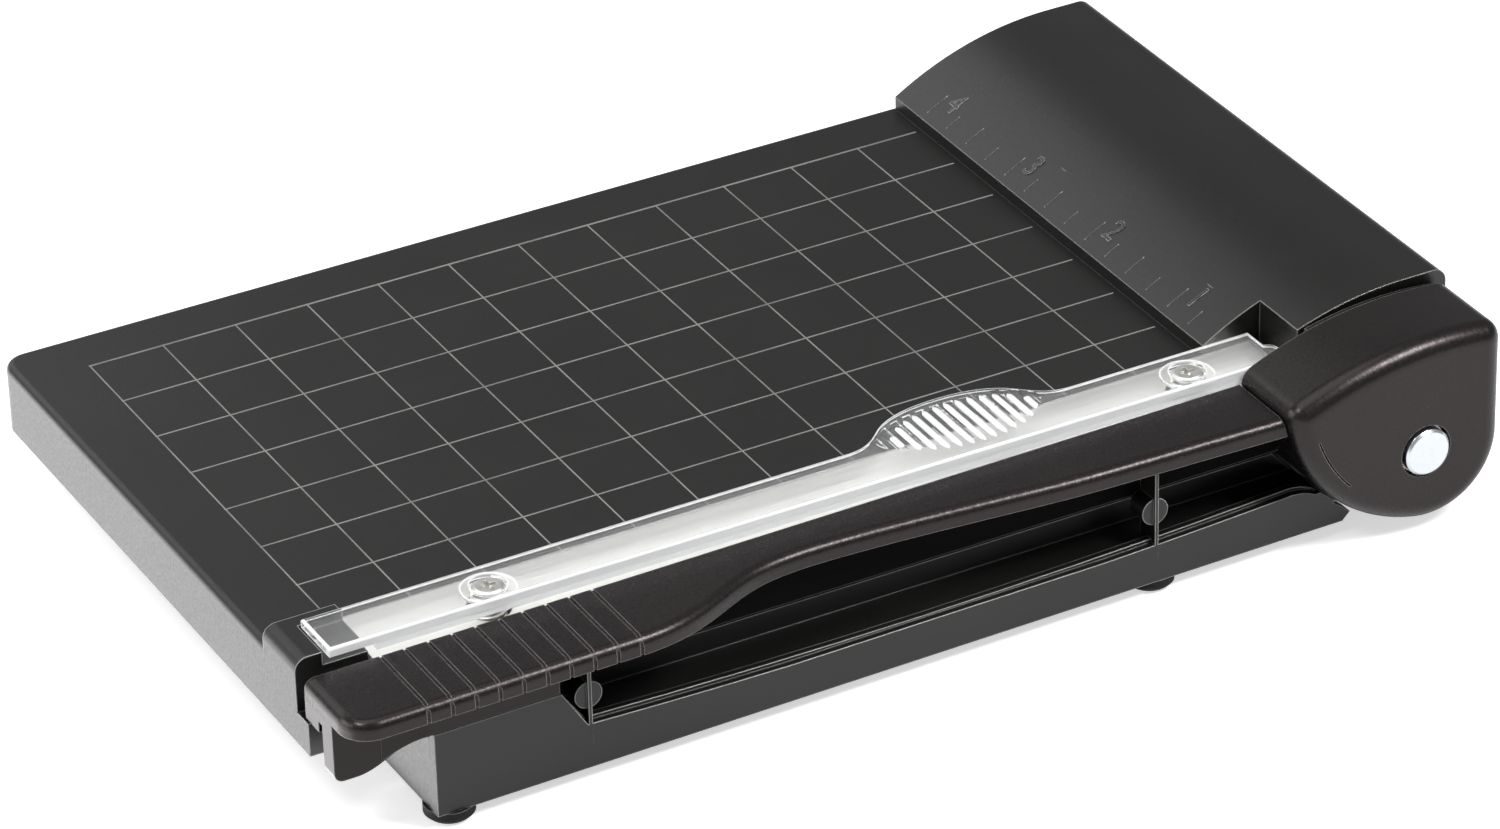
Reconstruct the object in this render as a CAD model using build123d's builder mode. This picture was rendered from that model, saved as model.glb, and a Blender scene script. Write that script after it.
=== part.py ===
from build123d import *

import os
from math import hypot, sqrt

os.makedirs("parts", exist_ok=True)

# Small desk guillotine for paper, with a six-inch cut. Millimetres, +Z up.
# +X runs along the cut towards the pivot, +Y away from the user, z = 0 is the desk.

# Table and pedestal
table_length = 201.8
table_depth = 111.1
slab_thickness = 11.7
pedestal_height = 10.3
shell_wall = 2.4
table_corner_radius = 4.0
table_edge_radius = 1.2
pedestal_inset_left = 15.6
pedestal_inset_right = 6.9
pedestal_inset_back = 14.4
rib_thickness = 1.6
rib_height = 9.0
rib_count = 6
side_pocket_count = 5
back_pocket_count = 10

# Front shelf with its wall, end box and posts
front_reach_left = 12.1
front_reach_right = 10.0
front_wall_end_gap = 9.4
shelf_height = 6.5
shelf_ledge = 1.4
rim_height_end = 8.3
rim_sag = 1.5
rim_end_inset = 11.0
rim_end_radius = 8.9
rim_end_turn_share = 0.5
rim_step = 0.6
rim_step_width = 1.2
box_length = 21.3
box_height = 14.4
box_depth = 5.7
box_slope_run = 4.2
front_corner_chamfer = 1.4
post_width = 0.6
post_depth = 4.4
post_height = 19.4
post_pad_radius = 2.3
post_pad_height = 12.5
post_pad_setback = 0.5
post_left_gap = 0.5
post_right_inset = 36.0

# End block and the ledge that stops the arm
block_length = 12.0
block_depth = 11.0
block_height = 3.1
block_setback = 1.6
block_edge_radius = 2.2
ledge_length = 2.4
ledge_reach = 2.1
ledge_height = 5.7

# Bed knife
knife_overhang = 0.5
knife_end_gap = 0.3
knife_width = 12.3
knife_thickness = 2.0
knife_bevel = 0.5
knife_clearance = 0.2

# Press bar
guard_right_gap = 4.0
guard_left_gap = 5.0
guard_width = 9.7
guard_thickness = 1.5
guard_setback = 0.4
guard_lift = 2.9
guard_lip_height = 1.1
guard_lip_width = 1.0
guard_edge = 0.5
guard_tab_radius = 1.8
guard_tab_reach = 1.6
guard_tab_inset = 3.3
guard_travel_room = 2.0
guard_side_gap = 0.4
pad_place_share = 0.681
pad_length = 40.0
pad_reach = 7.6
pad_flank_shares = (0.575, 0.6)
pad_oval_length = 29.0
pad_oval_width = 12.0
pad_dish = 0.5
pad_margin = 1.5
pad_rib_pitch = 2.6
pad_rib_width = 1.1

# Screws and springs of the press bar
guard_screw_left_inset = 28.3
guard_screw_right_inset = 14.6
guard_screw_inset = 4.6
guard_screw_radius = 1.5
guard_screw_length = 12.0
guard_head_radius = 2.6
guard_head_height = 1.2
guard_boss_radius = 4.2
guard_boss_drop = 0.6
guard_bore_radius = 1.8
guard_counterbore_radius = 2.9
guard_counterbore_floor = 0.7
spring_pocket_depth = 8.1
spring_outer_radius = 2.9
spring_wire = 0.8
spring_clearance = 0.3
pocket_wall = 1.7

# Ruler cover
cover_length = 38.3
cover_front_height = 2.3
cover_height = 10.8
cover_flat = 8.4
cover_corner_radius = 2.4
cover_edge_radius = 1.0
cover_back_inset = 0.5
cover_notch_length = 10.6
cover_notch_depth = 10.9
head_setback = 1.5
head_recess_start = 1.9

# Arm cap
arm_gap = 0.4
arm_end_inset = 0.3
grip_width = 16.0
grip_length = 47.5
grip_corner_radius = 5.0
neck_share = 0.214
neck_width = 8.3
waist_share = 0.345
waist_width = 7.5
arm_mid_share = 0.633
arm_mid_width = 10.7
arm_end_reach = 3.0
arm_end_width = 13.1
arm_end_slope_share = 0.05
cap_thickness = 3.0
cap_proud = 1.0
cap_rise = 1.6
cap_edge_radius = 1.7
groove_count = 10
groove_pitch = 3.91
groove_start = 12.5
groove_width = 0.5
groove_depth = 0.3

# Arm web, fin and tongue
web_thickness = 3.5
web_height = 6.6
tongue_length = 10.0
rest_gap = 0.3
fin_length = 14.3
fin_thickness = 3.4
fin_height = 10.1
fin_toe = 3.0
fin_heel_rise = 3.7
fin_curve_shares = ((0.42, 0.3), (0.67, 0.68))
fin_corner_radius = 1.5
fin_front_inset = 7.0
fin_bridge_thickness = 1.8
skirt_length = 37.0
skirt_gap = 0.5

# Blade
blade_gap = 0.3
blade_thickness = 1.0
blade_height = 7.6
blade_end_gap = 0.6
blade_top_gap = 0.2
blade_bevel = 0.7
blade_screw_count = 4
blade_screw_radius = 1.25
blade_screw_reach = 3.0
blade_head_radius = 2.0

# Hub
hub_gap = 0.4
hub_width = 16.0
hub_wall = 2.4
hub_right_inset = 0.9
hub_lower_radius = 12.8
hub_left_radius = 29.9
hub_crown_radius = 65.0
hub_crown_inset = 11.0
hub_crown_height = 34.5
hub_corner_radius = 3.0
hub_edge_radius = 3.2
hub_clearance = 0.6
hub_lip_reach = 1.7
hub_lip_step = 0.8
hub_lip_inset = 11.6
hub_ground_gap = 1.9
hub_lean_share = 0.2135
hub_sweep_gap = 0.4
hub_fit = 0.25
slit_inset = 3.15
slit_width = 0.25
slit_depth = 0.5
slit_height = 9.5
slit_rise = 2.7

# Pivot
pivot_inset = 15.3
pivot_height = 15.1
bolt_radius = 3.0
bolt_head_radius = 4.0
bolt_head_height = 2.2
bolt_head_proud = 0.8
bolt_counterbore_gap = 0.5
bolt_edge = 0.4
washer_thickness = 0.6
thrust_washer_thickness = 1.6
thrust_washer_radius = 6.5
bush_wall = 1.0
running_clearance = 0.05
press_clearance = 0.02
axial_clearance = 0.2
pivot_boss_radius = 8.0
pivot_boss_length = 8.0
nut_width = 10.0
nut_sides = 6
nut_washer_radius = 5.8
nut_height = 4.0
bolt_overhang = 0.8
hub_boss_radius = 6.6

# Small screws
screw_radius = 1.25
screw_clearance_radius = 1.5
screw_head_radius = 2.3
screw_head_height = 1.3
screw_fit = 0.03
screw_boss_radius = 3.2
plate_screw_length = 9.0
plate_screw_inset = 2.6
cover_screw_length = 7.0
cover_screw_inset = 8.0
cover_screw_back_inset = 27.0
cap_screw_tongue_inset = 8.0
cap_screw_shares = (0.24, 0.763)
cap_screw_radius = 1.0
cap_screw_head_radius = 1.3
cap_screw_head_height = 1.2
cap_screw_bite = 1.6
hub_screw_reach = 4.5
hub_screw_offsets = ((-11.1, 6.9), (8.2, 10.4))
recess_length = 2.6
recess_width = 0.7
recess_depth = 0.7

# Feet and floor plate
foot_height = 2.1
foot_radius = 4.0
foot_edge = 0.6
foot_stem_radius = 2.0
foot_stem_length = 4.0
foot_boss_radius = 3.3
rear_boss_radius = 5.3
foot_corner_inset = 3.5
foot_front_right_inset = 34.9
foot_rear_inset = 9.0
plate_thickness = 1.6
plate_clearance = 0.3

overrun = 1.0

# Levels and lines that the pieces share
table_left = -table_length / 2
table_right = table_length / 2
overall_depth = table_depth + knife_overhang + hub_gap + hub_width + bolt_head_proud
back_y = overall_depth / 2
wall_y = back_y - table_depth
cut_y = wall_y - knife_overhang
hub_in_y = cut_y - hub_gap
hub_front_y = hub_in_y - hub_width
head_y = wall_y + head_setback
base_z = foot_height
slab_z = base_z + pedestal_height
top_z = slab_z + slab_thickness
ceiling_z = top_z - shell_wall

pedestal_left = table_left + pedestal_inset_left
pedestal_right = table_right - pedestal_inset_right
pedestal_back = back_y - pedestal_inset_back
ledge_y = wall_y - shelf_ledge
shelf_z = base_z + shelf_height
box_z = base_z + box_height
box_back_y = wall_y - front_reach_left + box_depth

block_front_y = wall_y + block_setback
block_back_y = block_front_y + block_depth
block_z = top_z + block_height
arm_stop_z = slab_z + ledge_height

knife_left = table_left + block_length + arm_end_inset
knife_back_y = cut_y + knife_width
beam_back_y = knife_back_y + shell_wall

guard_left = table_left + guard_left_gap
guard_front_y = cut_y + guard_setback
guard_back_y = guard_front_y + guard_width
guard_z = top_z + guard_lift
guard_top_z = guard_z + guard_thickness
guard_boss_z = guard_z - guard_boss_drop
guard_seat_z = guard_boss_z + guard_counterbore_floor
guard_screw_y = cut_y + guard_screw_inset
pocket_floor_z = top_z - spring_pocket_depth

cover_left = table_right - cover_length
cover_notch_x = cover_left + cover_notch_length
cover_notch_y = head_y + cover_notch_depth
cover_back_y = back_y - cover_back_inset
head_recess_x = cover_notch_x - head_recess_start
knife_right = head_recess_x - knife_end_gap
guard_right = cover_notch_x - guard_right_gap

pivot_x = table_right - pivot_inset
pivot_z = pivot_height
hub_right = table_right - hub_right_inset
arm_in_y = cut_y - arm_gap
arm_left = table_left + arm_end_inset
blade_in_y = cut_y - blade_gap
web_in_y = blade_in_y - blade_thickness
web_out_y = web_in_y - web_thickness
cap_top_z = top_z + cap_proud
cap_z = cap_top_z - cap_thickness
web_z = cap_z - web_height
counterbore_y = hub_front_y + bolt_head_height - bolt_head_proud + washer_thickness + axial_clearance
bush_radius = bolt_radius + running_clearance + bush_wall

# Front wall plane: local x follows the wall, local y is up, the normal faces the user
front_left = (pedestal_left, wall_y - front_reach_left)
front_run = pivot_x - front_wall_end_gap - pedestal_left
front_turn = front_reach_left - front_reach_right
front_plane = Plane(
    origin=(*front_left, 0),
    x_dir=(front_run, front_turn, 0),
    z_dir=(front_turn, -front_run, 0),
)


def front_face_y(x):
    """Y of the front wall's outer face at a place along the table."""
    return front_left[1] + front_turn * (x - pedestal_left) / front_run


def block(x_ends, y_ends, z_ends, mode=Mode.ADD):
    """Box between pairs of planes, in the part that is being built."""
    centre = tuple((ends[0] + ends[1]) / 2 for ends in (x_ends, y_ends, z_ends))
    size = [abs(ends[1] - ends[0]) for ends in (x_ends, y_ends, z_ends)]
    with Locations(centre):
        Box(*size, mode=mode)


def post(x, y, z_ends, radius, mode=Mode.ADD):
    """Upright cylinder between two heights."""
    with Locations((x, y, (z_ends[0] + z_ends[1]) / 2)):
        Cylinder(radius, abs(z_ends[1] - z_ends[0]), mode=mode)


def axle(x, z, y_ends, radius, mode=Mode.ADD):
    """Cylinder along Y between two places."""
    with Locations((x, (y_ends[0] + y_ends[1]) / 2, z)):
        Cylinder(radius, abs(y_ends[1] - y_ends[0]), rotation=(90, 0, 0), mode=mode)


def xz_plane(y):
    """Sketch plane across the table at a depth; local y is up and the normal faces the user."""
    return Plane(origin=(0, y, 0), x_dir=(1, 0, 0), z_dir=(0, -1, 0))


def arc_about(centre, start, end):
    """Arc of less than half a turn about a centre, between two points at the same distance from it."""
    radius = hypot(start[0] - centre[0], start[1] - centre[1])
    lean = (start[0] + end[0] - 2 * centre[0], start[1] + end[1] - 2 * centre[1])
    length = hypot(*lean)
    ThreePointArc(start, (centre[0] + radius * lean[0] / length, centre[1] + radius * lean[1] / length), end)


hub_rise_share = sqrt(1 - hub_lean_share**2)
hub_lower = (hub_right - hub_lower_radius, hub_ground_gap + hub_lower_radius)
hub_reach = hub_left_radius - hub_lower_radius
hub_left = (hub_lower[0] + hub_reach * hub_lean_share, hub_lower[1] + hub_reach * hub_rise_share)
hub_crown = (hub_right - hub_crown_inset, hub_crown_height - hub_crown_radius)


def hub_profile():
    """D-shaped hub face: round below the pivot, a long arc up to the arm and a crowned top."""
    touch = (
        hub_lower[0] - hub_lower_radius * hub_lean_share,
        hub_lower[1] - hub_lower_radius * hub_rise_share,
    )
    span = hypot(hub_left[0] - hub_crown[0], hub_left[1] - hub_crown[1])
    step = ((hub_left[0] - hub_crown[0]) / span, (hub_left[1] - hub_crown[1]) / span)
    along = (hub_crown_radius**2 - hub_left_radius**2 + span**2) / (2 * span)
    aside = sqrt(hub_crown_radius**2 - along**2)
    corner = (
        hub_crown[0] + along * step[0] - aside * step[1],
        hub_crown[1] + along * step[1] + aside * step[0],
    )
    shoulder = (hub_right, hub_crown[1] + sqrt(hub_crown_radius**2 - hub_crown_inset**2))
    flank = (hub_right, hub_lower[1])
    with BuildLine() as outline:
        arc_about(hub_crown, corner, shoulder)
        Line(shoulder, flank)
        arc_about(hub_lower, flank, touch)
        arc_about(hub_left, touch, corner)
    make_face(outline.edges())
    fillet(vertices().sort_by(Axis.X)[0], hub_corner_radius)
    fillet(vertices().sort_by(lambda vertex: vertex.X + vertex.Y)[-1], hub_corner_radius)


def wall_outline(drop):
    """Front wall on its own plane, from the end box along a sagging rim that may be lowered.

    The right end of the rim turns down in a round corner.
    """
    rim_z = base_z + rim_height_end - drop
    slope_foot = (box_length + box_slope_run, rim_z)
    rim_end = (front_run - rim_end_inset, rim_z)
    with BuildLine() as outline:
        rim = ThreePointArc(slope_foot, ((slope_foot[0] + rim_end[0]) / 2, rim_z - rim_sag), rim_end)
        turn = JernArc(rim @ 1, (1, 0), rim_end_radius, -90 * rim_end_turn_share)
        Polyline(
            turn @ 1,
            (front_run, base_z + front_corner_chamfer),
            (front_run - front_corner_chamfer, base_z),
            (0, base_z),
            (0, box_z),
            (box_length, box_z),
            slope_foot,
        )
    make_face(outline.edges())


def cap_level(x):
    """Underside of the arm cap at a place along the arm."""
    return cap_z + cap_rise * (x - arm_left) / (pivot_x - arm_left)


def cover_level(x):
    """Top of the ruler cover at a place along its curve."""
    flat = table_right - cover_flat
    run = flat - cover_left
    rise = cover_height - cover_front_height
    radius = (run**2 + rise**2) / (2 * rise)
    return top_z + cover_height - radius + sqrt(radius**2 - max(0, flat - x) ** 2)


guard_screw_points = [
    (guard_left + guard_screw_left_inset, guard_screw_y),
    (guard_right - guard_screw_right_inset, guard_screw_y),
]
pad_x = guard_left + (guard_right - guard_left) * pad_place_share
cavity_left = pedestal_left + shell_wall
cavity_right = pedestal_right - shell_wall
cavity_back = pedestal_back - shell_wall
ledge_back_y = ledge_y + shell_wall
cover_screw_points = [
    (x, y)
    for x in (cover_notch_x, cavity_right - screw_boss_radius - screw_head_radius)
    for y in (beam_back_y + cover_screw_inset, cavity_back - cover_screw_back_inset)
]
plate_screw_points = [
    (x, y)
    for x in (cavity_left + pivot_boss_radius, 0, cover_left)
    for y in (ledge_back_y + plate_screw_inset, cavity_back - plate_screw_inset)
]
plate_z = base_z + plate_thickness
foot_front_left = (pedestal_left + foot_corner_inset, front_left[1] + foot_corner_inset)
foot_right_x = pedestal_left + front_run - foot_front_right_inset
foot_front_right = (foot_right_x, front_face_y(foot_right_x) + foot_radius)
foot_rear_left = (cavity_left + foot_rear_inset, cavity_back - foot_rear_inset - foot_radius)
foot_rear_right = (cavity_right - foot_rear_inset, cavity_back - foot_rear_inset - foot_radius)
cap_screw_y = web_in_y - web_thickness / 2
grip_right = arm_left + grip_length
grip_y = arm_in_y - grip_width
fin_y = grip_y + fin_front_inset
fin_z = cap_z - fin_height
skirt_pocket_z = fin_z + fin_heel_rise - skirt_gap
hub_left_x = hub_left[0] - hub_left_radius
arm_run = hub_left_x - grip_right
cap_screw_xs = [arm_left + cap_screw_tongue_inset]
cap_screw_xs += [grip_right + arm_run * share for share in cap_screw_shares]
blade_left = knife_left + knife_bevel
blade_z = cap_z - blade_top_gap - blade_height
blade_screw_z = web_z + web_height / 2
blade_length = hub_left_x - blade_end_gap - blade_left
blade_screw_pitch = blade_length / blade_screw_count
blade_screw_xs = [blade_left + blade_screw_pitch * (i + 1 / 2) for i in range(blade_screw_count)]
hub_screw_points = [(pivot_x + x, pivot_z + z) for x, z in hub_screw_offsets]


# Base housing: hollow table on a hollow pedestal
with BuildPart() as base_housing:
    with BuildSketch(Plane.XY.offset(slab_z)):
        with Locations((0, (wall_y + back_y) / 2)):
            Rectangle(table_length, table_depth)
    extrude(amount=slab_thickness)
    fillet(base_housing.edges().filter_by(Axis.Z).group_by(Axis.Y)[-1], table_corner_radius)
    rim_edges = base_housing.faces().sort_by(Axis.Z)[-1].edges()
    fillet(rim_edges.sort_by(Axis.Y)[1:], table_edge_radius)

    # End block beside the press bar
    block(
        (table_left, table_left + block_length),
        (block_front_y, block_back_y),
        (top_z - table_edge_radius - shell_wall, block_z),
    )
    block_edges = base_housing.faces().sort_by(Axis.Z)[-1].edges()
    fillet(block_edges.sort_by(Axis.X)[0], block_edge_radius)
    block(
        (guard_left - guard_side_gap, table_left + block_length + overrun),
        (block_front_y - overrun, guard_back_y + guard_side_gap),
        (guard_z - guard_travel_room, block_z + overrun),
        Mode.SUBTRACT,
    )

    # Pedestal below the table
    block((pedestal_left, pedestal_right), (ledge_y, pedestal_back), (base_z, slab_z))
    block(
        (cavity_left, cavity_right),
        (ledge_back_y, cavity_back),
        (base_z - overrun, slab_z),
        Mode.SUBTRACT,
    )
    block(
        (cavity_left, cavity_right),
        (beam_back_y, cavity_back),
        (slab_z - overrun, ceiling_z),
        Mode.SUBTRACT,
    )
    block(
        (cavity_left, knife_right - shell_wall),
        (wall_y + shell_wall, beam_back_y - shell_wall),
        (slab_z - overrun, ceiling_z - knife_thickness - overrun),
        Mode.SUBTRACT,
    )
    block(
        (knife_right + shell_wall, cavity_right),
        (head_y + shell_wall, beam_back_y + overrun),
        (base_z - overrun, ceiling_z),
        Mode.SUBTRACT,
    )

    # Pockets under the overhanging edges
    side_pitch = (back_y - shell_wall - block_back_y) / side_pocket_count
    for i in range(side_pocket_count):
        start = block_back_y + side_pitch * i
        block(
            (table_left + shell_wall, pedestal_left),
            (start, start + side_pitch - rib_thickness),
            (slab_z - overrun, ceiling_z),
            Mode.SUBTRACT,
        )
    back_pitch = (pedestal_right - pedestal_left) / back_pocket_count
    for i in range(back_pocket_count):
        start = pedestal_left + back_pitch * i
        block(
            (start, start + back_pitch - rib_thickness),
            (pedestal_back, back_y - shell_wall),
            (slab_z - overrun, ceiling_z),
            Mode.SUBTRACT,
        )

    # Ribs under the table
    rib_pitch = (cover_left - cavity_left) / rib_count
    for i in range(1, rib_count):
        rib_x = cavity_left + rib_pitch * i
        block(
            (rib_x - rib_thickness / 2, rib_x + rib_thickness / 2),
            (beam_back_y, cavity_back),
            (ceiling_z - rib_height, ceiling_z),
        )

    # Front wall with its sagging rim, lower along the front half
    with BuildSketch(front_plane):
        wall_outline(rim_step)
    extrude(amount=-rim_step_width)
    with BuildSketch(front_plane.offset(-rim_step_width)):
        wall_outline(0)
    extrude(amount=rim_step_width - shell_wall)

    # Shelf behind the wall and the end of the pedestal beside it
    shelf_right = pedestal_left + front_run
    with BuildSketch(Plane.XY.offset(shelf_z - shell_wall)):
        with BuildLine():
            Polyline(
                (pedestal_left, front_face_y(pedestal_left)),
                (shelf_right, front_face_y(shelf_right)),
                (shelf_right, ledge_y),
                (pedestal_left, ledge_y),
                close=True,
            )
        make_face()
    extrude(amount=shell_wall)
    block((pedestal_left, cavity_left), (front_face_y(cavity_left), ledge_y), (base_z, shelf_z))
    block((pedestal_left, cavity_left), (box_back_y, ledge_y), (shelf_z, slab_z))

    # End box with a sloping right end, open behind its front for the arm's skirt
    with BuildSketch(xz_plane(box_back_y)):
        with BuildLine():
            Polyline(
                (pedestal_left, shelf_z - shell_wall),
                (pedestal_left, box_z),
                (pedestal_left + box_length, box_z),
                (pedestal_left + box_length + box_slope_run, base_z + rim_height_end),
                (pedestal_left + box_length + box_slope_run, shelf_z - shell_wall),
                close=True,
            )
        make_face()
    extrude(amount=box_depth - shell_wall / 2)
    block(
        (cavity_left, pedestal_left + box_length - box_slope_run),
        (box_back_y - shell_wall, front_face_y(cavity_left) + shell_wall),
        (base_z - overrun, skirt_pocket_z - shell_wall),
        Mode.SUBTRACT,
    )
    block(
        (pedestal_left - overrun, pedestal_left + box_length + box_slope_run),
        (fin_y - skirt_gap, box_back_y + overrun),
        (skirt_pocket_z, box_z + overrun),
        Mode.SUBTRACT,
    )

    # Posts behind the rim, each with a round pad
    for place in (box_length + box_slope_run + post_left_gap, front_run - post_right_inset):
        post_x = pedestal_left + place
        face_y = front_face_y(post_x)
        block(
            (post_x - post_width / 2, post_x + post_width / 2),
            (face_y, face_y + post_depth),
            (shelf_z - shell_wall, base_z + post_height),
        )
        pad_ends = (face_y + post_pad_setback, face_y + post_depth)
        axle(post_x, base_z + post_pad_height, pad_ends, post_pad_radius)

    # Arm end: open corner and the ledge that stops the arm
    block(
        (table_left - overrun, knife_left - knife_clearance),
        (wall_y - overrun, block_front_y),
        (slab_z - overrun, block_z),
        Mode.SUBTRACT,
    )
    block(
        (table_left, table_left + ledge_length),
        (wall_y - ledge_reach, block_front_y + overrun),
        (slab_z, arm_stop_z),
    )

    # Seat of the bed knife
    block(
        (knife_left - knife_clearance, knife_right + knife_clearance),
        (wall_y - overrun, knife_back_y + knife_clearance),
        (top_z - knife_thickness, top_z + overrun),
        Mode.SUBTRACT,
    )

    # Spring pockets below the press bar's screws
    pocket_radius = spring_outer_radius + spring_clearance
    for x, y in guard_screw_points:
        block(
            (x - pocket_radius - pocket_wall, x + pocket_radius + pocket_wall),
            (wall_y, y + pocket_radius + pocket_wall),
            (slab_z, ceiling_z - knife_thickness),
        )
        post(x, y, (pocket_floor_z, top_z), pocket_radius, Mode.SUBTRACT)
        post(x, y, (slab_z, pocket_floor_z), guard_screw_radius + screw_fit, Mode.SUBTRACT)

    # Room for the hub, then the pivot boss behind it
    block(
        (head_recess_x, table_right + overrun),
        (ledge_y - overrun, head_y),
        (base_z - overrun, top_z + overrun),
        Mode.SUBTRACT,
    )
    front_room = (front_left[1] - overrun, hub_in_y + hub_gap / 2)
    axle(*hub_left, front_room, hub_left_radius + hub_clearance, Mode.SUBTRACT)
    hub_sweep = hub_lower_radius + hypot(hub_lower[0] - pivot_x, hub_lower[1] - pivot_z) + hub_sweep_gap
    axle(pivot_x, pivot_z, front_room, hub_sweep, Mode.SUBTRACT)
    block(
        (head_recess_x - shell_wall, cavity_right + shell_wall),
        (head_y, head_y + shell_wall),
        (base_z, ceiling_z),
    )
    axle(pivot_x, pivot_z, (wall_y, head_y + pivot_boss_length), pivot_boss_radius)
    axle(
        pivot_x,
        pivot_z,
        (wall_y - overrun, head_y + pivot_boss_length + overrun),
        bolt_radius + press_clearance,
        Mode.SUBTRACT,
    )

    # Bosses for the floor plate, the feet and the ruler cover
    for x, y in plate_screw_points:
        post(x, y, (plate_z, ceiling_z), screw_boss_radius)
        post(x, y, (plate_z, plate_z + plate_screw_length), screw_radius + screw_fit, Mode.SUBTRACT)
    for x, y in (foot_rear_left, foot_rear_right):
        post(x, y, (plate_z, ceiling_z), rear_boss_radius)
        post(x, y, (plate_z, plate_z + foot_stem_length), foot_stem_radius + press_clearance, Mode.SUBTRACT)
    for x, y in (foot_front_left, foot_front_right):
        post(x, y, (base_z, shelf_z), foot_boss_radius)
        post(x, y, (base_z, base_z + foot_stem_length), foot_stem_radius + press_clearance, Mode.SUBTRACT)
    for x, y in cover_screw_points:
        post(x, y, (ceiling_z - overrun, top_z + overrun), screw_clearance_radius, Mode.SUBTRACT)
base_housing.part.label = "base_housing"
export_step(base_housing.part, "parts/base_housing.step")

# Floor plate that closes the pedestal
with BuildPart() as base_plate:
    block(
        (cavity_left + plate_clearance, cavity_right - plate_clearance),
        (ledge_back_y + plate_clearance, cavity_back - plate_clearance),
        (base_z, plate_z),
    )
    block(
        (head_recess_x - shell_wall - plate_clearance, cavity_right),
        (ledge_y, head_y + shell_wall + plate_clearance),
        (base_z - overrun, plate_z + overrun),
        Mode.SUBTRACT,
    )
    for x, y in plate_screw_points:
        post(x, y, (base_z - overrun, plate_z + overrun), screw_clearance_radius, Mode.SUBTRACT)
    for x, y in (foot_rear_left, foot_rear_right):
        post(x, y, (base_z - overrun, plate_z + overrun), foot_stem_radius + plate_clearance, Mode.SUBTRACT)
base_plate.part.label = "base_plate"
export_step(base_plate.part, "parts/base_plate.step")

# Screws of the floor plate
with BuildPart() as plate_screws:
    for x, y in plate_screw_points:
        post(x, y, (base_z - screw_head_height, base_z), screw_head_radius)
        post(x, y, (base_z, plate_z + plate_screw_length - overrun), screw_radius)
plate_screws.part.label = "plate_screws"
export_step(plate_screws.part, "parts/plate_screws.step")

# Rubber feet, each with a stem pressed into the base
feet = {
    "foot_front_left": (foot_front_left, base_z),
    "foot_front_right": (foot_front_right, base_z),
    "foot_rear_left": (foot_rear_left, plate_z),
    "foot_rear_right": (foot_rear_right, plate_z),
}
for name, (point, seat_z) in feet.items():
    with BuildPart() as foot:
        post(*point, (0, base_z), foot_radius)
        chamfer(foot.edges().group_by(Axis.Z)[0], foot_edge)
        post(*point, (base_z, seat_z + foot_stem_length), foot_stem_radius)
    foot.part.label = name
    export_step(foot.part, f"parts/{name}.step")

# Ruler cover: a shell under one long curve
def cover_profile(foot_z):
    """Section of the ruler cover across the table, standing on a chosen level."""
    flat_x = table_right - cover_flat
    middle_x = (cover_left + flat_x) / 2
    curve_foot = (cover_left, top_z + cover_front_height)
    curve_head = (flat_x, top_z + cover_height)
    with BuildLine() as outline:
        ThreePointArc(curve_foot, (middle_x, cover_level(middle_x)), curve_head)
        Polyline(
            curve_head,
            (table_right, top_z + cover_height),
            (table_right, foot_z),
            (cover_left, foot_z),
            curve_foot,
        )
    make_face(outline.edges())
    fillet(vertices().sort_by(lambda vertex: vertex.X + vertex.Y)[-1], cover_corner_radius)


with BuildPart() as ruler_cover:
    with BuildSketch(xz_plane(cover_back_y)):
        cover_profile(top_z)
    extrude(amount=cover_back_y - head_y)
    back_edges = ruler_cover.faces().sort_by(Axis.Y)[-1].edges()
    fillet(back_edges.sort_by(Axis.Z)[1:], cover_edge_radius)
    block(
        (cover_left - overrun, cover_notch_x),
        (head_y - overrun, cover_notch_y),
        (top_z - overrun, top_z + cover_height),
        Mode.SUBTRACT,
    )
    cavity_foot_z = top_z - shell_wall - overrun
    with BuildSketch(xz_plane(cover_back_y - shell_wall)):
        cover_profile(cavity_foot_z)
        offset(amount=-shell_wall)
    extrude(amount=cover_back_y - cover_notch_y - 2 * shell_wall, mode=Mode.SUBTRACT)
    with BuildSketch(xz_plane(cover_notch_y + shell_wall)):
        cover_profile(cavity_foot_z)
        offset(amount=-shell_wall)
        with Locations((cover_notch_x + shell_wall + cover_length / 2, top_z)):
            Rectangle(cover_length, table_depth, mode=Mode.INTERSECT)
    extrude(amount=cover_notch_y - head_y, mode=Mode.SUBTRACT)
    for x, y in cover_screw_points:
        post(x, y, (top_z, cover_level(x) - shell_wall / 2), screw_boss_radius)
        post(x, y, (top_z, top_z + cover_screw_length - shell_wall), screw_radius + screw_fit, Mode.SUBTRACT)
ruler_cover.part.label = "ruler_cover"
export_step(ruler_cover.part, "parts/ruler_cover.step")

# Screws of the ruler cover, driven from inside the base
with BuildPart() as cover_screws:
    for x, y in cover_screw_points:
        post(x, y, (ceiling_z - screw_head_height, ceiling_z), screw_head_radius)
        post(x, y, (ceiling_z, ceiling_z + cover_screw_length - overrun), screw_radius)
cover_screws.part.label = "cover_screws"
export_step(cover_screws.part, "parts/cover_screws.step")

# Bed knife
with BuildPart() as bed_knife:
    block((knife_left, knife_right), (cut_y, knife_back_y), (top_z - knife_thickness, top_z))
    front_edges = bed_knife.faces().sort_by(Axis.Y)[0].edges()
    chamfer(front_edges.sort_by(Axis.Z)[0], knife_bevel)
    for x, y in guard_screw_points:
        post(
            x,
            y,
            (top_z - knife_thickness - overrun, top_z + overrun),
            spring_outer_radius + knife_bevel,
            Mode.SUBTRACT,
        )
bed_knife.part.label = "bed_knife"
export_step(bed_knife.part, "parts/bed_knife.step")

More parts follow.
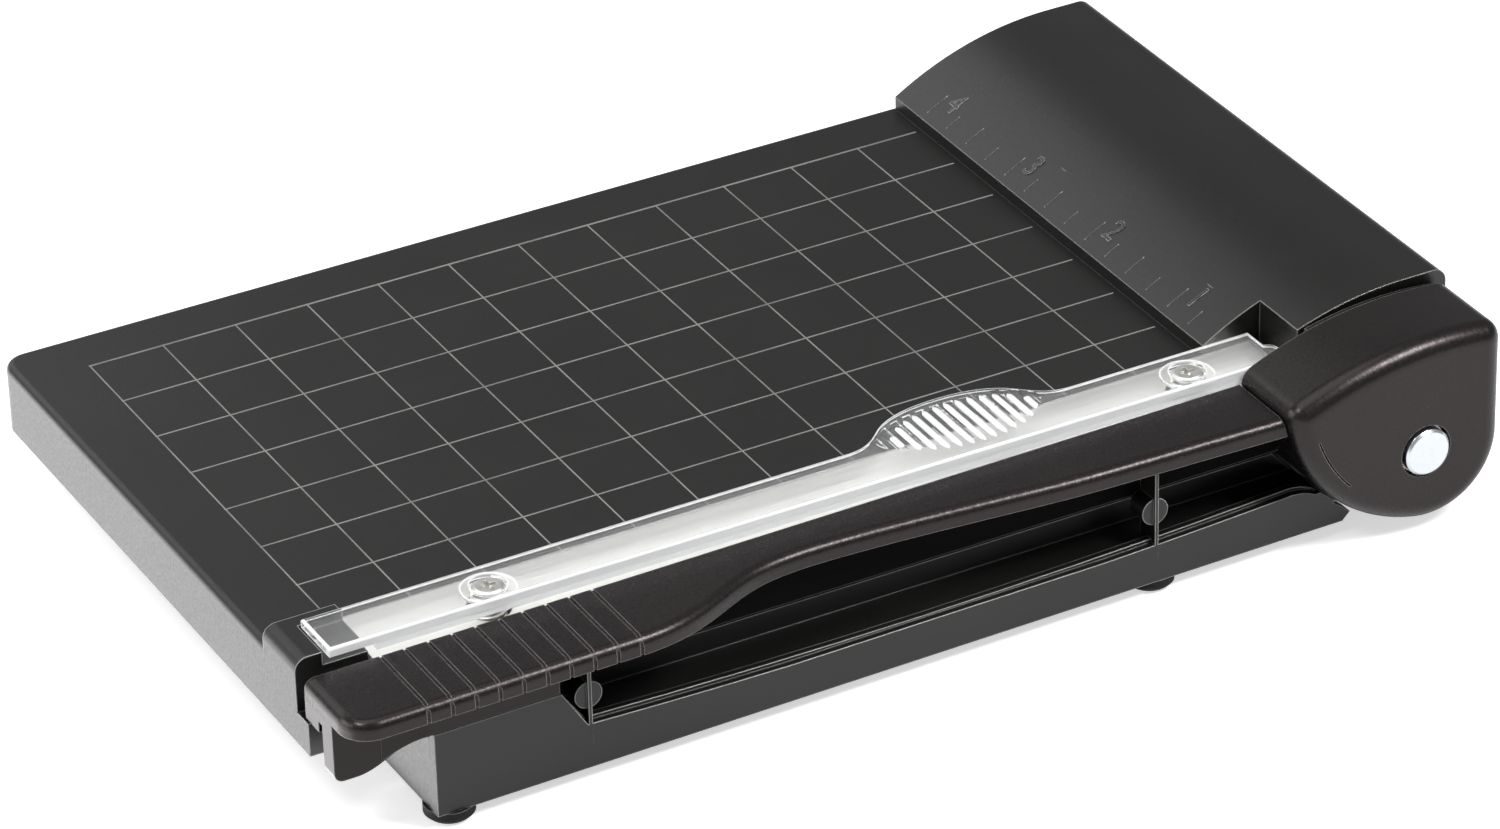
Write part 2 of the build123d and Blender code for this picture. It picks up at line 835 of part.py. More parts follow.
# Press bar with its ribbed finger pad
with BuildPart() as paper_guard:
    pad_half = pad_length / 2
    flank_x = pad_half * pad_flank_shares[0]
    flank_y = guard_back_y + pad_reach * pad_flank_shares[1]
    with BuildSketch(Plane.XY.offset(guard_z)):
        with BuildLine():
            Polyline(
                (pad_x - pad_half, guard_back_y),
                (guard_left, guard_back_y),
                (guard_left, guard_front_y),
                (guard_right, guard_front_y),
                (guard_right, guard_back_y),
                (pad_x + pad_half, guard_back_y),
            )
            Spline(
                (pad_x + pad_half, guard_back_y),
                (pad_x + flank_x, flank_y),
                (pad_x, guard_back_y + pad_reach),
                (pad_x - flank_x, flank_y),
                (pad_x - pad_half, guard_back_y),
                tangents=((-1, 0), (-1, 0)),
            )
        make_face()
        with Locations((guard_right - guard_tab_radius + guard_tab_reach, guard_front_y + guard_tab_inset)):
            Circle(guard_tab_radius)
    extrude(amount=guard_thickness)
    fillet(paper_guard.faces().sort_by(Axis.Z)[-1].edges(), guard_edge)
    block(
        (knife_left + guard_side_gap, guard_right),
        (guard_front_y, guard_front_y + guard_lip_width),
        (guard_z - guard_lip_height, guard_z),
    )
    with BuildSketch(Plane.XY.offset(guard_top_z)):
        with Locations((pad_x, guard_back_y + pad_reach - pad_margin - pad_oval_width / 2)):
            Ellipse(pad_oval_length / 2, pad_oval_width / 2)
            with GridLocations(pad_rib_pitch, 0, int(pad_oval_length / pad_rib_pitch), 1):
                Rectangle(pad_rib_width, pad_oval_width, mode=Mode.SUBTRACT)
    extrude(amount=-pad_dish, mode=Mode.SUBTRACT)
    for x, y in guard_screw_points:
        post(x, y, (guard_boss_z, guard_z), guard_boss_radius)
        post(x, y, (guard_seat_z, guard_top_z + overrun), guard_counterbore_radius, Mode.SUBTRACT)
        post(x, y, (guard_boss_z - overrun, guard_seat_z), guard_bore_radius, Mode.SUBTRACT)
paper_guard.part.label = "paper_guard"
export_step(paper_guard.part, "parts/paper_guard.step")

# Screws that hold the press bar down against its springs
with BuildPart() as guard_screws:
    head_z = guard_seat_z + running_clearance
    for x, y in guard_screw_points:
        post(x, y, (head_z - guard_screw_length, head_z), guard_screw_radius)
        post(x, y, (head_z, head_z + guard_head_height), guard_head_radius)
    chamfer(guard_screws.edges().group_by(Axis.Z)[-1], guard_edge)
    for x, y in guard_screw_points:
        recess_z = head_z + guard_head_height
        for half_x, half_y in ((recess_length / 2, recess_width / 2), (recess_width / 2, recess_length / 2)):
            block(
                (x - half_x, x + half_x),
                (y - half_y, y + half_y),
                (recess_z - recess_depth, recess_z),
                Mode.SUBTRACT,
            )
guard_screws.part.label = "guard_screws"
export_step(guard_screws.part, "parts/guard_screws.step")

# Springs below the press bar
with BuildPart() as guard_springs:
    for x, y in guard_screw_points:
        post(x, y, (pocket_floor_z, guard_boss_z - running_clearance), spring_outer_radius)
        post(x, y, (pocket_floor_z, guard_boss_z), spring_outer_radius - spring_wire, Mode.SUBTRACT)
guard_springs.part.label = "guard_springs"
export_step(guard_springs.part, "parts/guard_springs.step")

# Arm cap: plan outline of the grip and waist, cut to a slanting plate
arm_end_x = hub_left_x + arm_end_reach
with BuildPart() as arm_cap:
    with BuildSketch(Plane.XY.offset(cap_z - overrun)):
        with BuildLine():
            grip_end = (grip_right, grip_y)
            arm_end = (arm_end_x, arm_in_y - arm_end_width)
            Polyline(arm_end, (arm_end_x, arm_in_y), (arm_left, arm_in_y), (arm_left, grip_y), grip_end)
            Spline(
                grip_end,
                (grip_right + arm_run * neck_share, arm_in_y - neck_width),
                (grip_right + arm_run * waist_share, arm_in_y - waist_width),
                (grip_right + arm_run * arm_mid_share, arm_in_y - arm_mid_width),
                arm_end,
                tangents=((1, 0), (1, -arm_end_slope_share)),
            )
        make_face()
        fillet(vertices().sort_by(lambda vertex: vertex.X + vertex.Y)[0], grip_corner_radius)
    extrude(amount=cap_thickness + cap_rise + 2 * overrun)
    with BuildSketch(xz_plane(arm_in_y + overrun)):
        with BuildLine():
            near_x = arm_left - overrun
            far_x = arm_end_x + overrun
            Polyline(
                (near_x, cap_level(near_x)),
                (far_x, cap_level(far_x)),
                (far_x, cap_level(far_x) + cap_thickness),
                (near_x, cap_level(near_x) + cap_thickness),
                close=True,
            )
        make_face()
    extrude(amount=grip_width + 2 * overrun, mode=Mode.INTERSECT)
    top_edges = arm_cap.faces().sort_by(Axis.Z)[-1].edges()
    outer_edges = top_edges.filter_by(lambda edge: edge.center().X < arm_end_x - overrun)
    fillet(outer_edges.sort_by(Axis.Y)[:-1], cap_edge_radius)
    axle(*hub_left, (grip_y - overrun, arm_in_y + overrun), hub_left_radius + hub_fit, Mode.SUBTRACT)
    for i in range(groove_count):
        groove_x = arm_left + groove_start + groove_pitch * i
        sides = (groove_x - groove_width / 2, groove_x + groove_width / 2)
        groove_top = cap_level(groove_x) + cap_thickness
        block(sides, (grip_y, arm_in_y), (groove_top - groove_depth, groove_top + overrun), Mode.SUBTRACT)
        block(sides, (grip_y, grip_y + groove_depth), (cap_z - overrun, groove_top), Mode.SUBTRACT)
    for x in cap_screw_xs:
        hole_ends = (cap_level(x) - overrun, cap_level(x) + cap_screw_bite)
        post(x, cap_screw_y, hole_ends, cap_screw_radius + screw_fit, Mode.SUBTRACT)
arm_cap.part.label = "arm_cap"
export_step(arm_cap.part, "parts/arm_cap.step")

# Arm web with its tongue, hanging fin and skirt, and pivot eye
tongue_z = arm_stop_z + rest_gap
tongue_x = arm_left + tongue_length
web_end_x = hub_left_x + 2 * hub_wall


def cap_seat_z(x):
    """Seat of a cap screw's sunk head, in the tongue or in the web."""
    return (tongue_z if x < tongue_x else web_z) + cap_screw_head_height


with BuildPart() as arm_frame:
    with BuildSketch(xz_plane(web_in_y)):
        with BuildLine():
            Polyline(
                (arm_left, cap_level(arm_left)),
                (arm_left, tongue_z),
                (tongue_x, tongue_z),
                (tongue_x + tongue_z - web_z, web_z),
                (web_end_x, web_z),
                (web_end_x, cap_level(web_end_x)),
                close=True,
            )
        make_face()
    extrude(amount=web_thickness)
    with BuildSketch(xz_plane(web_in_y)):
        hub_profile()
        offset(amount=-hub_wall - hub_fit)
    extrude(amount=web_thickness)
    block((arm_left, tongue_x - overrun), (blade_in_y, web_in_y - overrun), (tongue_z, cap_z))
    with BuildSketch(xz_plane(fin_y + fin_thickness)):
        toe = (arm_left + fin_toe, fin_z)
        heel = (arm_left + fin_length, fin_z + fin_heel_rise)
        run = (heel[0] - toe[0], heel[1] - toe[1])
        skirt_x = arm_left + skirt_length
        with BuildLine():
            Polyline(
                heel,
                (skirt_x, heel[1]),
                (skirt_x, cap_level(skirt_x)),
                (arm_left, cap_z),
                (arm_left, fin_z),
                toe,
            )
            Spline(
                toe,
                *[(toe[0] + run[0] * share[0], toe[1] + run[1] * share[1]) for share in fin_curve_shares],
                heel,
            )
        make_face()
        fillet(vertices().sort_by(lambda vertex: vertex.X + vertex.Y)[0], fin_corner_radius)
    extrude(amount=fin_thickness)
    block(
        (arm_left, arm_left + fin_length),
        (fin_y + fin_thickness, web_out_y),
        (cap_z - fin_bridge_thickness, cap_z),
    )
    axle(
        pivot_x,
        pivot_z,
        (web_out_y - overrun, web_in_y + overrun),
        bush_radius + press_clearance,
        Mode.SUBTRACT,
    )
    for x, z in hub_screw_points:
        axle(x, z, (web_out_y - overrun, web_in_y + overrun), screw_clearance_radius, Mode.SUBTRACT)
        head_room = (web_in_y - screw_head_height, web_in_y + overrun)
        axle(x, z, head_room, screw_head_radius + hub_fit, Mode.SUBTRACT)
    for x in blade_screw_xs:
        hole_ends = (web_in_y - blade_screw_reach, web_in_y)
        axle(x, blade_screw_z, hole_ends, blade_screw_radius + screw_fit, Mode.SUBTRACT)
    for x in cap_screw_xs:
        hole_ends = (web_z - overrun, cap_level(x) + overrun)
        post(x, cap_screw_y, hole_ends, cap_screw_radius + screw_fit, Mode.SUBTRACT)
        head_room = (web_z - overrun, cap_seat_z(x))
        post(x, cap_screw_y, head_room, cap_screw_head_radius + screw_fit, Mode.SUBTRACT)
arm_frame.part.label = "arm_frame"
export_step(arm_frame.part, "parts/arm_frame.step")

# Screws that hold the cap to the web
with BuildPart() as cap_screws:
    for x in cap_screw_xs:
        seat_z = cap_seat_z(x)
        post(x, cap_screw_y, (seat_z - cap_screw_head_height, seat_z), cap_screw_head_radius)
        post(x, cap_screw_y, (seat_z, cap_level(x) + cap_screw_bite), cap_screw_radius)
cap_screws.part.label = "cap_screws"
export_step(cap_screws.part, "parts/cap_screws.step")

# Moving blade with a ground lower edge
with BuildPart() as blade:
    with BuildSketch(Plane.YZ.offset(blade_left)):
        with BuildLine():
            Polyline(
                (blade_in_y, blade_z),
                (blade_in_y, blade_z + blade_height),
                (web_in_y, blade_z + blade_height),
                (web_in_y, blade_z + blade_bevel),
                close=True,
            )
        make_face()
    extrude(amount=blade_length)
    for x in blade_screw_xs:
        hole_ends = (web_in_y - overrun, blade_in_y + overrun)
        axle(x, blade_screw_z, hole_ends, blade_head_radius + screw_fit, Mode.SUBTRACT)
blade.part.label = "blade"
export_step(blade.part, "parts/blade.step")

# Flush screws of the blade
with BuildPart() as blade_screws:
    for x in blade_screw_xs:
        axle(x, blade_screw_z, (web_in_y, blade_in_y), blade_head_radius)
        axle(x, blade_screw_z, (web_in_y - blade_screw_reach, web_in_y), blade_screw_radius)
blade_screws.part.label = "blade_screws"
export_step(blade_screws.part, "parts/blade_screws.step")

# Hub cover: hollow from the table side
with BuildPart() as hub_cover:
    with BuildSketch(xz_plane(hub_in_y)):
        hub_profile()
    extrude(amount=hub_width)
    fillet(hub_cover.faces().sort_by(Axis.Y)[0].edges(), hub_edge_radius)
    with BuildSketch(xz_plane(hub_in_y)):
        hub_profile()
        offset(amount=-hub_wall)
    extrude(amount=hub_width - hub_wall, mode=Mode.SUBTRACT)
    with BuildSketch(xz_plane(hub_front_y)):
        with Locations(hub_left):
            Circle(hub_left_radius - slit_inset)
            Circle(hub_left_radius - slit_inset - slit_width, mode=Mode.SUBTRACT)
        with Locations((hub_left_x, pivot_z + slit_rise)):
            Rectangle(hub_left_radius, slit_height, mode=Mode.INTERSECT)
    extrude(amount=-slit_depth, mode=Mode.SUBTRACT)
    axle(pivot_x, pivot_z, (hub_front_y + hub_wall - hub_fit, web_out_y - hub_fit), hub_boss_radius)
    for x, z in hub_screw_points:
        axle(x, z, (hub_front_y + hub_wall - hub_fit, web_out_y), screw_boss_radius)
        axle(x, z, (web_out_y - hub_screw_reach, web_out_y), screw_radius + screw_fit, Mode.SUBTRACT)
    axle(
        pivot_x,
        pivot_z,
        (hub_front_y - overrun, counterbore_y),
        bolt_head_radius + bolt_counterbore_gap,
        Mode.SUBTRACT,
    )
    axle(
        pivot_x,
        pivot_z,
        (counterbore_y, web_out_y),
        bush_radius + press_clearance,
        Mode.SUBTRACT,
    )
    block(
        (hub_left_x - overrun, web_end_x),
        (web_out_y - hub_fit, hub_in_y + overrun),
        (web_z - hub_fit, cap_level(web_end_x) + hub_fit),
        Mode.SUBTRACT,
    )
hub_cover.part.label = "hub_cover"
export_step(hub_cover.part, "parts/hub_cover.step")

# Hub rim: a low ring on the hub's edge that runs in the base's recess
with BuildPart() as hub_rim:
    with BuildSketch(xz_plane(hub_in_y)):
        hub_profile()
        offset(amount=-hub_lip_step)
        with Locations((pivot_x - hub_lip_inset + table_depth / 2, pivot_z)):
            Rectangle(table_depth, table_depth, mode=Mode.INTERSECT)
    extrude(amount=-hub_lip_reach)
    with BuildSketch(xz_plane(hub_in_y)):
        hub_profile()
        offset(amount=-hub_wall)
    extrude(amount=-hub_lip_reach, mode=Mode.SUBTRACT)
hub_rim.part.label = "hub_rim"
export_step(hub_rim.part, "parts/hub_rim.step")

# Screws that hold the hub cover to the eye
with BuildPart() as hub_screws:
    for x, z in hub_screw_points:
        axle(x, z, (web_in_y - screw_head_height, web_in_y), screw_head_radius)
        axle(x, z, (web_out_y - hub_screw_reach, web_in_y - screw_head_height), screw_radius)
hub_screws.part.label = "hub_screws"
export_step(hub_screws.part, "parts/hub_screws.step")

# Sleeve that the arm turns on
bolt_bore = bolt_radius + running_clearance
with BuildPart() as pivot_bush:
    axle(pivot_x, pivot_z, (counterbore_y + axial_clearance, web_in_y), bush_radius)
    axle(pivot_x, pivot_z, (counterbore_y, web_in_y + overrun), bolt_bore, Mode.SUBTRACT)
pivot_bush.part.label = "pivot_bush"
export_step(pivot_bush.part, "parts/pivot_bush.step")

# Pivot bolt, fixed in the base
bolt_seat_y = hub_front_y - bolt_head_proud + bolt_head_height
nut_seat_y = head_y + pivot_boss_length
nut_y = nut_seat_y + washer_thickness
with BuildPart() as pivot_bolt:
    axle(pivot_x, pivot_z, (hub_front_y - bolt_head_proud, bolt_seat_y), bolt_head_radius)
    chamfer(pivot_bolt.edges().group_by(Axis.Y)[0], bolt_edge)
    axle(pivot_x, pivot_z, (bolt_seat_y, nut_y + nut_height + bolt_overhang), bolt_radius)
pivot_bolt.part.label = "pivot_bolt"
export_step(pivot_bolt.part, "parts/pivot_bolt.step")

# Washers of the pivot: under the head, against the arm and under the nut
washers = {
    "pivot_washer": (bolt_seat_y, bolt_seat_y + washer_thickness, bolt_head_radius + hub_fit),
    "thrust_washer": (wall_y - thrust_washer_thickness, wall_y, thrust_washer_radius),
    "nut_washer": (nut_seat_y, nut_y, nut_washer_radius),
}
for name, (near_y, far_y, radius) in washers.items():
    with BuildPart() as washer:
        axle(pivot_x, pivot_z, (near_y, far_y), radius)
        axle(pivot_x, pivot_z, (near_y - overrun, far_y + overrun), bolt_bore, Mode.SUBTRACT)
    washer.part.label = name
    export_step(washer.part, f"parts/{name}.step")

# Hexagon nut inside the base
with BuildPart() as pivot_nut:
    with BuildSketch(xz_plane(nut_y + nut_height)):
        with Locations((pivot_x, pivot_z)):
            RegularPolygon(nut_width / 2, nut_sides, major_radius=False)
            Circle(bolt_radius + press_clearance, mode=Mode.SUBTRACT)
    extrude(amount=nut_height)
pivot_nut.part.label = "pivot_nut"
export_step(pivot_nut.part, "parts/pivot_nut.step")
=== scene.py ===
import logging
from dataclasses import dataclass
from enum import Enum

import bpy
import numpy as np
from mathutils import Matrix, Vector


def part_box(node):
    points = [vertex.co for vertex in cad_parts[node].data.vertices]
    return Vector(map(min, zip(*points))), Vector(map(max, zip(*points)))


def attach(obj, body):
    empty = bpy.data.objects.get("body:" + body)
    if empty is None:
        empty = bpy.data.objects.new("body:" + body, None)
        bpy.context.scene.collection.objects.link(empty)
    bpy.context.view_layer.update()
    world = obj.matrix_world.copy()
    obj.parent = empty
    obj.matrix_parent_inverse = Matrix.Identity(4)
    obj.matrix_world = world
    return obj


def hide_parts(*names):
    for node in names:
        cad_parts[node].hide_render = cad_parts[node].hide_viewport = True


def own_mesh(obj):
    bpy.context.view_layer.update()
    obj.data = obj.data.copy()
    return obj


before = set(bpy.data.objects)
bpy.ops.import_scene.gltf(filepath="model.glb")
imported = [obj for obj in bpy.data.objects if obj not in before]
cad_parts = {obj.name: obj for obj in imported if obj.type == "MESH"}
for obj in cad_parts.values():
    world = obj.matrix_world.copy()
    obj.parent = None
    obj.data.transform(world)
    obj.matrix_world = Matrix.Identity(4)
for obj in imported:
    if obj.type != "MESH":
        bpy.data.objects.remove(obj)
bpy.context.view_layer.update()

# A small desk guillotine for paper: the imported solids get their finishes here, and the table's printed
# grid, the ruler's raised marks, the finger pad's ribs, the coil springs and the front of the arm's skirt
# are added. Lengths in fields are millimetres, except in the studio.

MM = 0.001
ABS_IOR = 1.53
ACRYLIC_IOR = 1.49
# Most of a noise texture's values lie in this range.
NOISE_RANGE = (0.3, 0.7)
WHITE = (1.0, 1.0, 1.0, 1.0)
# Sockets of the Mix node, where one name stands for several.
FACTOR, FLOAT_A, FLOAT_B, COLOUR_A, COLOUR_B, COLOUR_OUT = 0, 2, 3, 6, 7, 2
# Unit directions, shaped to spread over tubes and stations.
ALONG_X, ALONG_Y, ALONG_Z = np.eye(3).reshape(3, 1, 1, 3)
LOG = logging.getLogger("paper_trimmer")


class Body(Enum):
    """The bodies that a piece may ride on."""

    BASE = "base"
    ARM = "arm"
    GUARD = "guard"


def linear(colour: str) -> tuple[float, float, float, float]:
    """Turns an sRGB hex colour to linear RGBA.

    Args:
        colour: The colour as "#rrggbb".

    Returns:
        The linear red, green, blue and an alpha of one.
    """
    parts = np.array([int(colour[i:i + 2], 16) for i in (1, 3, 5)]) / 255.0
    bent = np.where(parts <= 0.04045, parts / 12.92, ((parts + 0.055) / 1.055) ** 2.4)
    return (*bent.tolist(), 1.0)


def add_node(
    tree: bpy.types.NodeTree,
    kind: str,
    inputs: dict[str | int, object] | tuple[object, ...] = (),
    **settings: object,
) -> bpy.types.Node:
    """Adds a node with its settings, values and links.

    Args:
        tree: The node tree to add to.
        kind: Blender's name for the node type.
        inputs: Input sockets by name or number, or in order from the first. A socket is linked and any
            other value is set.
        **settings: Attributes of the node itself.

    Returns:
        The new node.
    """
    node = tree.nodes.new(kind)
    for name, value in settings.items():
        setattr(node, name, value)
    for key, value in inputs.items() if isinstance(inputs, dict) else enumerate(inputs):
        if isinstance(value, bpy.types.NodeSocket):
            tree.links.new(value, node.inputs[key])
        else:
            node.inputs[key].default_value = value
    return node


def blank_material(name: str) -> tuple[bpy.types.Material, bpy.types.NodeTree]:
    """Makes a material with an empty node tree.

    Args:
        name: The material's name.

    Returns:
        The material and its tree.
    """
    material = bpy.data.materials.new(name)
    material.use_nodes = True
    material.node_tree.nodes.clear()
    return material, material.node_tree


def close_material(tree: bpy.types.NodeTree, shader: bpy.types.Node) -> None:
    """Joins a shader to the tree's surface output."""
    add_node(tree, "ShaderNodeOutputMaterial", {"Surface": shader.outputs[0]})


def find_edges(
    tree: bpy.types.NodeTree, edge_mm: float
) -> tuple[bpy.types.NodeSocket, bpy.types.NodeSocket]:
    """Finds a surface's edges by rounding its normal there.

    Args:
        tree: The node tree to add to.
        edge_mm: How far from an edge the normal begins to turn.

    Returns:
        The rounded normal, and its dot product with the true one, which is 1 away from the edges.
    """
    rounded = add_node(tree, "ShaderNodeBevel", {"Radius": edge_mm * MM}, samples=6).outputs[0]
    true_normal = add_node(tree, "ShaderNodeNewGeometry").outputs["True Normal"]
    alike = add_node(tree, "ShaderNodeVectorMath", (rounded, true_normal), operation="DOT_PRODUCT")
    return rounded, alike.outputs["Value"]


@dataclass(frozen=True)
class MouldedPlastic:
    """Injection-moulded plastic from a spark-eroded tool: a fine pebbled grain breaks the gloss up.

    edge_alike has the dot products at which an edge begins and is full, open_share how open a groove is
    where the painted highlight on its edges begins to show and where it shows in full.
    """

    name: str
    colour: str
    worn_colour: str
    roughness: float
    roughness_spread: float
    specular: float
    grain_mm: float
    grain_depth_mm: float
    cloud_mm: float = 30.0
    cloud_range: tuple[float, float] = (0.35, 0.7)
    edge_mm: float = 0.3
    edge_alike: tuple[float, float] = (0.985, 0.87)
    # Lighter colour mixed into the edges: a painted highlight.
    edge_colour: str = "#6c6c69"
    edge_roughness: float = 0.22
    groove_mm: float = 0.6
    open_share: tuple[float, float] = (0.6, 0.9)
    gloss_tint: str = "#ffffff"
    # Past this place along X the surface is rougher, and its gloss tint is dimmed to paint shade.
    matt_beyond_mm: float | None = None
    matt_fade_mm: float = 4.0
    matt_tint: str = "#505050"
    matt_roughness: float = 0.85

    def make(self) -> bpy.types.Material:
        """Builds the material: clouded colour, grained bump, and smoother edges with a painted highlight.

        An edge is where the rounded normal leaves the true one, so its mask rises as their dot product
        falls; the mask mixes a lighter colour in, which paints a highlight. The mask fades where walls
        stand close, so that grooves and inner corners get no painted highlight. Past a set place along X
        the surface is rougher and its gloss tint is dimmed, which paints shade there.

        Returns:
            The finished material.
        """
        material, tree = blank_material(self.name)
        place = add_node(tree, "ShaderNodeTexCoord").outputs["Object"]
        clouds = add_node(
            tree,
            "ShaderNodeTexNoise",
            {"Vector": place, "Scale": 1 / (self.cloud_mm * MM), "Detail": 4.0, "Roughness": 0.6},
        )
        grain = add_node(tree, "ShaderNodeTexNoise", {"Vector": place, "Scale": 1 / (self.grain_mm * MM)})
        blend = add_node(tree, "ShaderNodeMapRange", (clouds.outputs[0], *self.cloud_range))
        colour = add_node(
            tree,
            "ShaderNodeMix",
            {FACTOR: blend.outputs[0], COLOUR_A: linear(self.colour), COLOUR_B: linear(self.worn_colour)},
            data_type="RGBA",
        )
        spread = (self.roughness - self.roughness_spread, self.roughness + self.roughness_spread)
        rough = add_node(tree, "ShaderNodeMapRange", (grain.outputs[0], *NOISE_RANGE, *spread))
        rounded, alike = find_edges(tree, self.edge_mm)
        turned = add_node(tree, "ShaderNodeMapRange", (alike, *self.edge_alike))
        # Ambient occlusion keeps the painted highlight out of grooves and inner corners.
        openness = add_node(
            tree,
            "ShaderNodeAmbientOcclusion",
            {"Distance": self.groove_mm * MM},
            samples=4,
            only_local=True,
        )
        open_edge_share = add_node(tree, "ShaderNodeMapRange", (openness.outputs["AO"], *self.open_share))
        edge = add_node(
            tree, "ShaderNodeMath", (turned.outputs[0], open_edge_share.outputs[0]), operation="MULTIPLY"
        ).outputs[0]
        # Painted highlight: the edge mask mixes the lighter edge colour into the base colour.
        edge_colour = add_node(
            tree,
            "ShaderNodeMix",
            {FACTOR: edge, COLOUR_A: colour.outputs[COLOUR_OUT], COLOUR_B: linear(self.edge_colour)},
            data_type="RGBA",
        )
        edge_rough = add_node(
            tree, "ShaderNodeMix", {FACTOR: edge, FLOAT_A: rough.outputs[0], FLOAT_B: self.edge_roughness}
        )
        bump = add_node(
            tree,
            "ShaderNodeBump",
            {"Height": grain.outputs[0], "Distance": self.grain_depth_mm * MM, "Normal": rounded},
        )
        sockets = {
            "Base Color": edge_colour.outputs[COLOUR_OUT],
            "Roughness": edge_rough.outputs[0],
            "Normal": bump.outputs[0],
            "Specular IOR Level": self.specular,
            "Specular Tint": linear(self.gloss_tint),
            "IOR": ABS_IOR,
        }
        if self.matt_beyond_mm is not None:
            along = add_node(tree, "ShaderNodeSeparateXYZ", (place,)).outputs["X"]
            fade = (self.matt_beyond_mm * MM, (self.matt_beyond_mm + self.matt_fade_mm) * MM)
            matt = add_node(tree, "ShaderNodeMapRange", (along, *fade)).outputs[0]
            # Painted shade: the dimmed gloss tint makes the surface mirror little past that place.
            tint = add_node(
                tree,
                "ShaderNodeMix",
                {FACTOR: matt, COLOUR_A: linear(self.gloss_tint), COLOUR_B: linear(self.matt_tint)},
                data_type="RGBA",
            )
            sockets["Specular Tint"] = tint.outputs[COLOUR_OUT]
            dull = add_node(
                tree,
                "ShaderNodeMix",
                {FACTOR: matt, FLOAT_A: edge_rough.outputs[0], FLOAT_B: self.matt_roughness},
            )
            sockets["Roughness"] = dull.outputs[0]
        close_material(tree, add_node(tree, "ShaderNodeBsdfPrincipled", sockets))
        return material


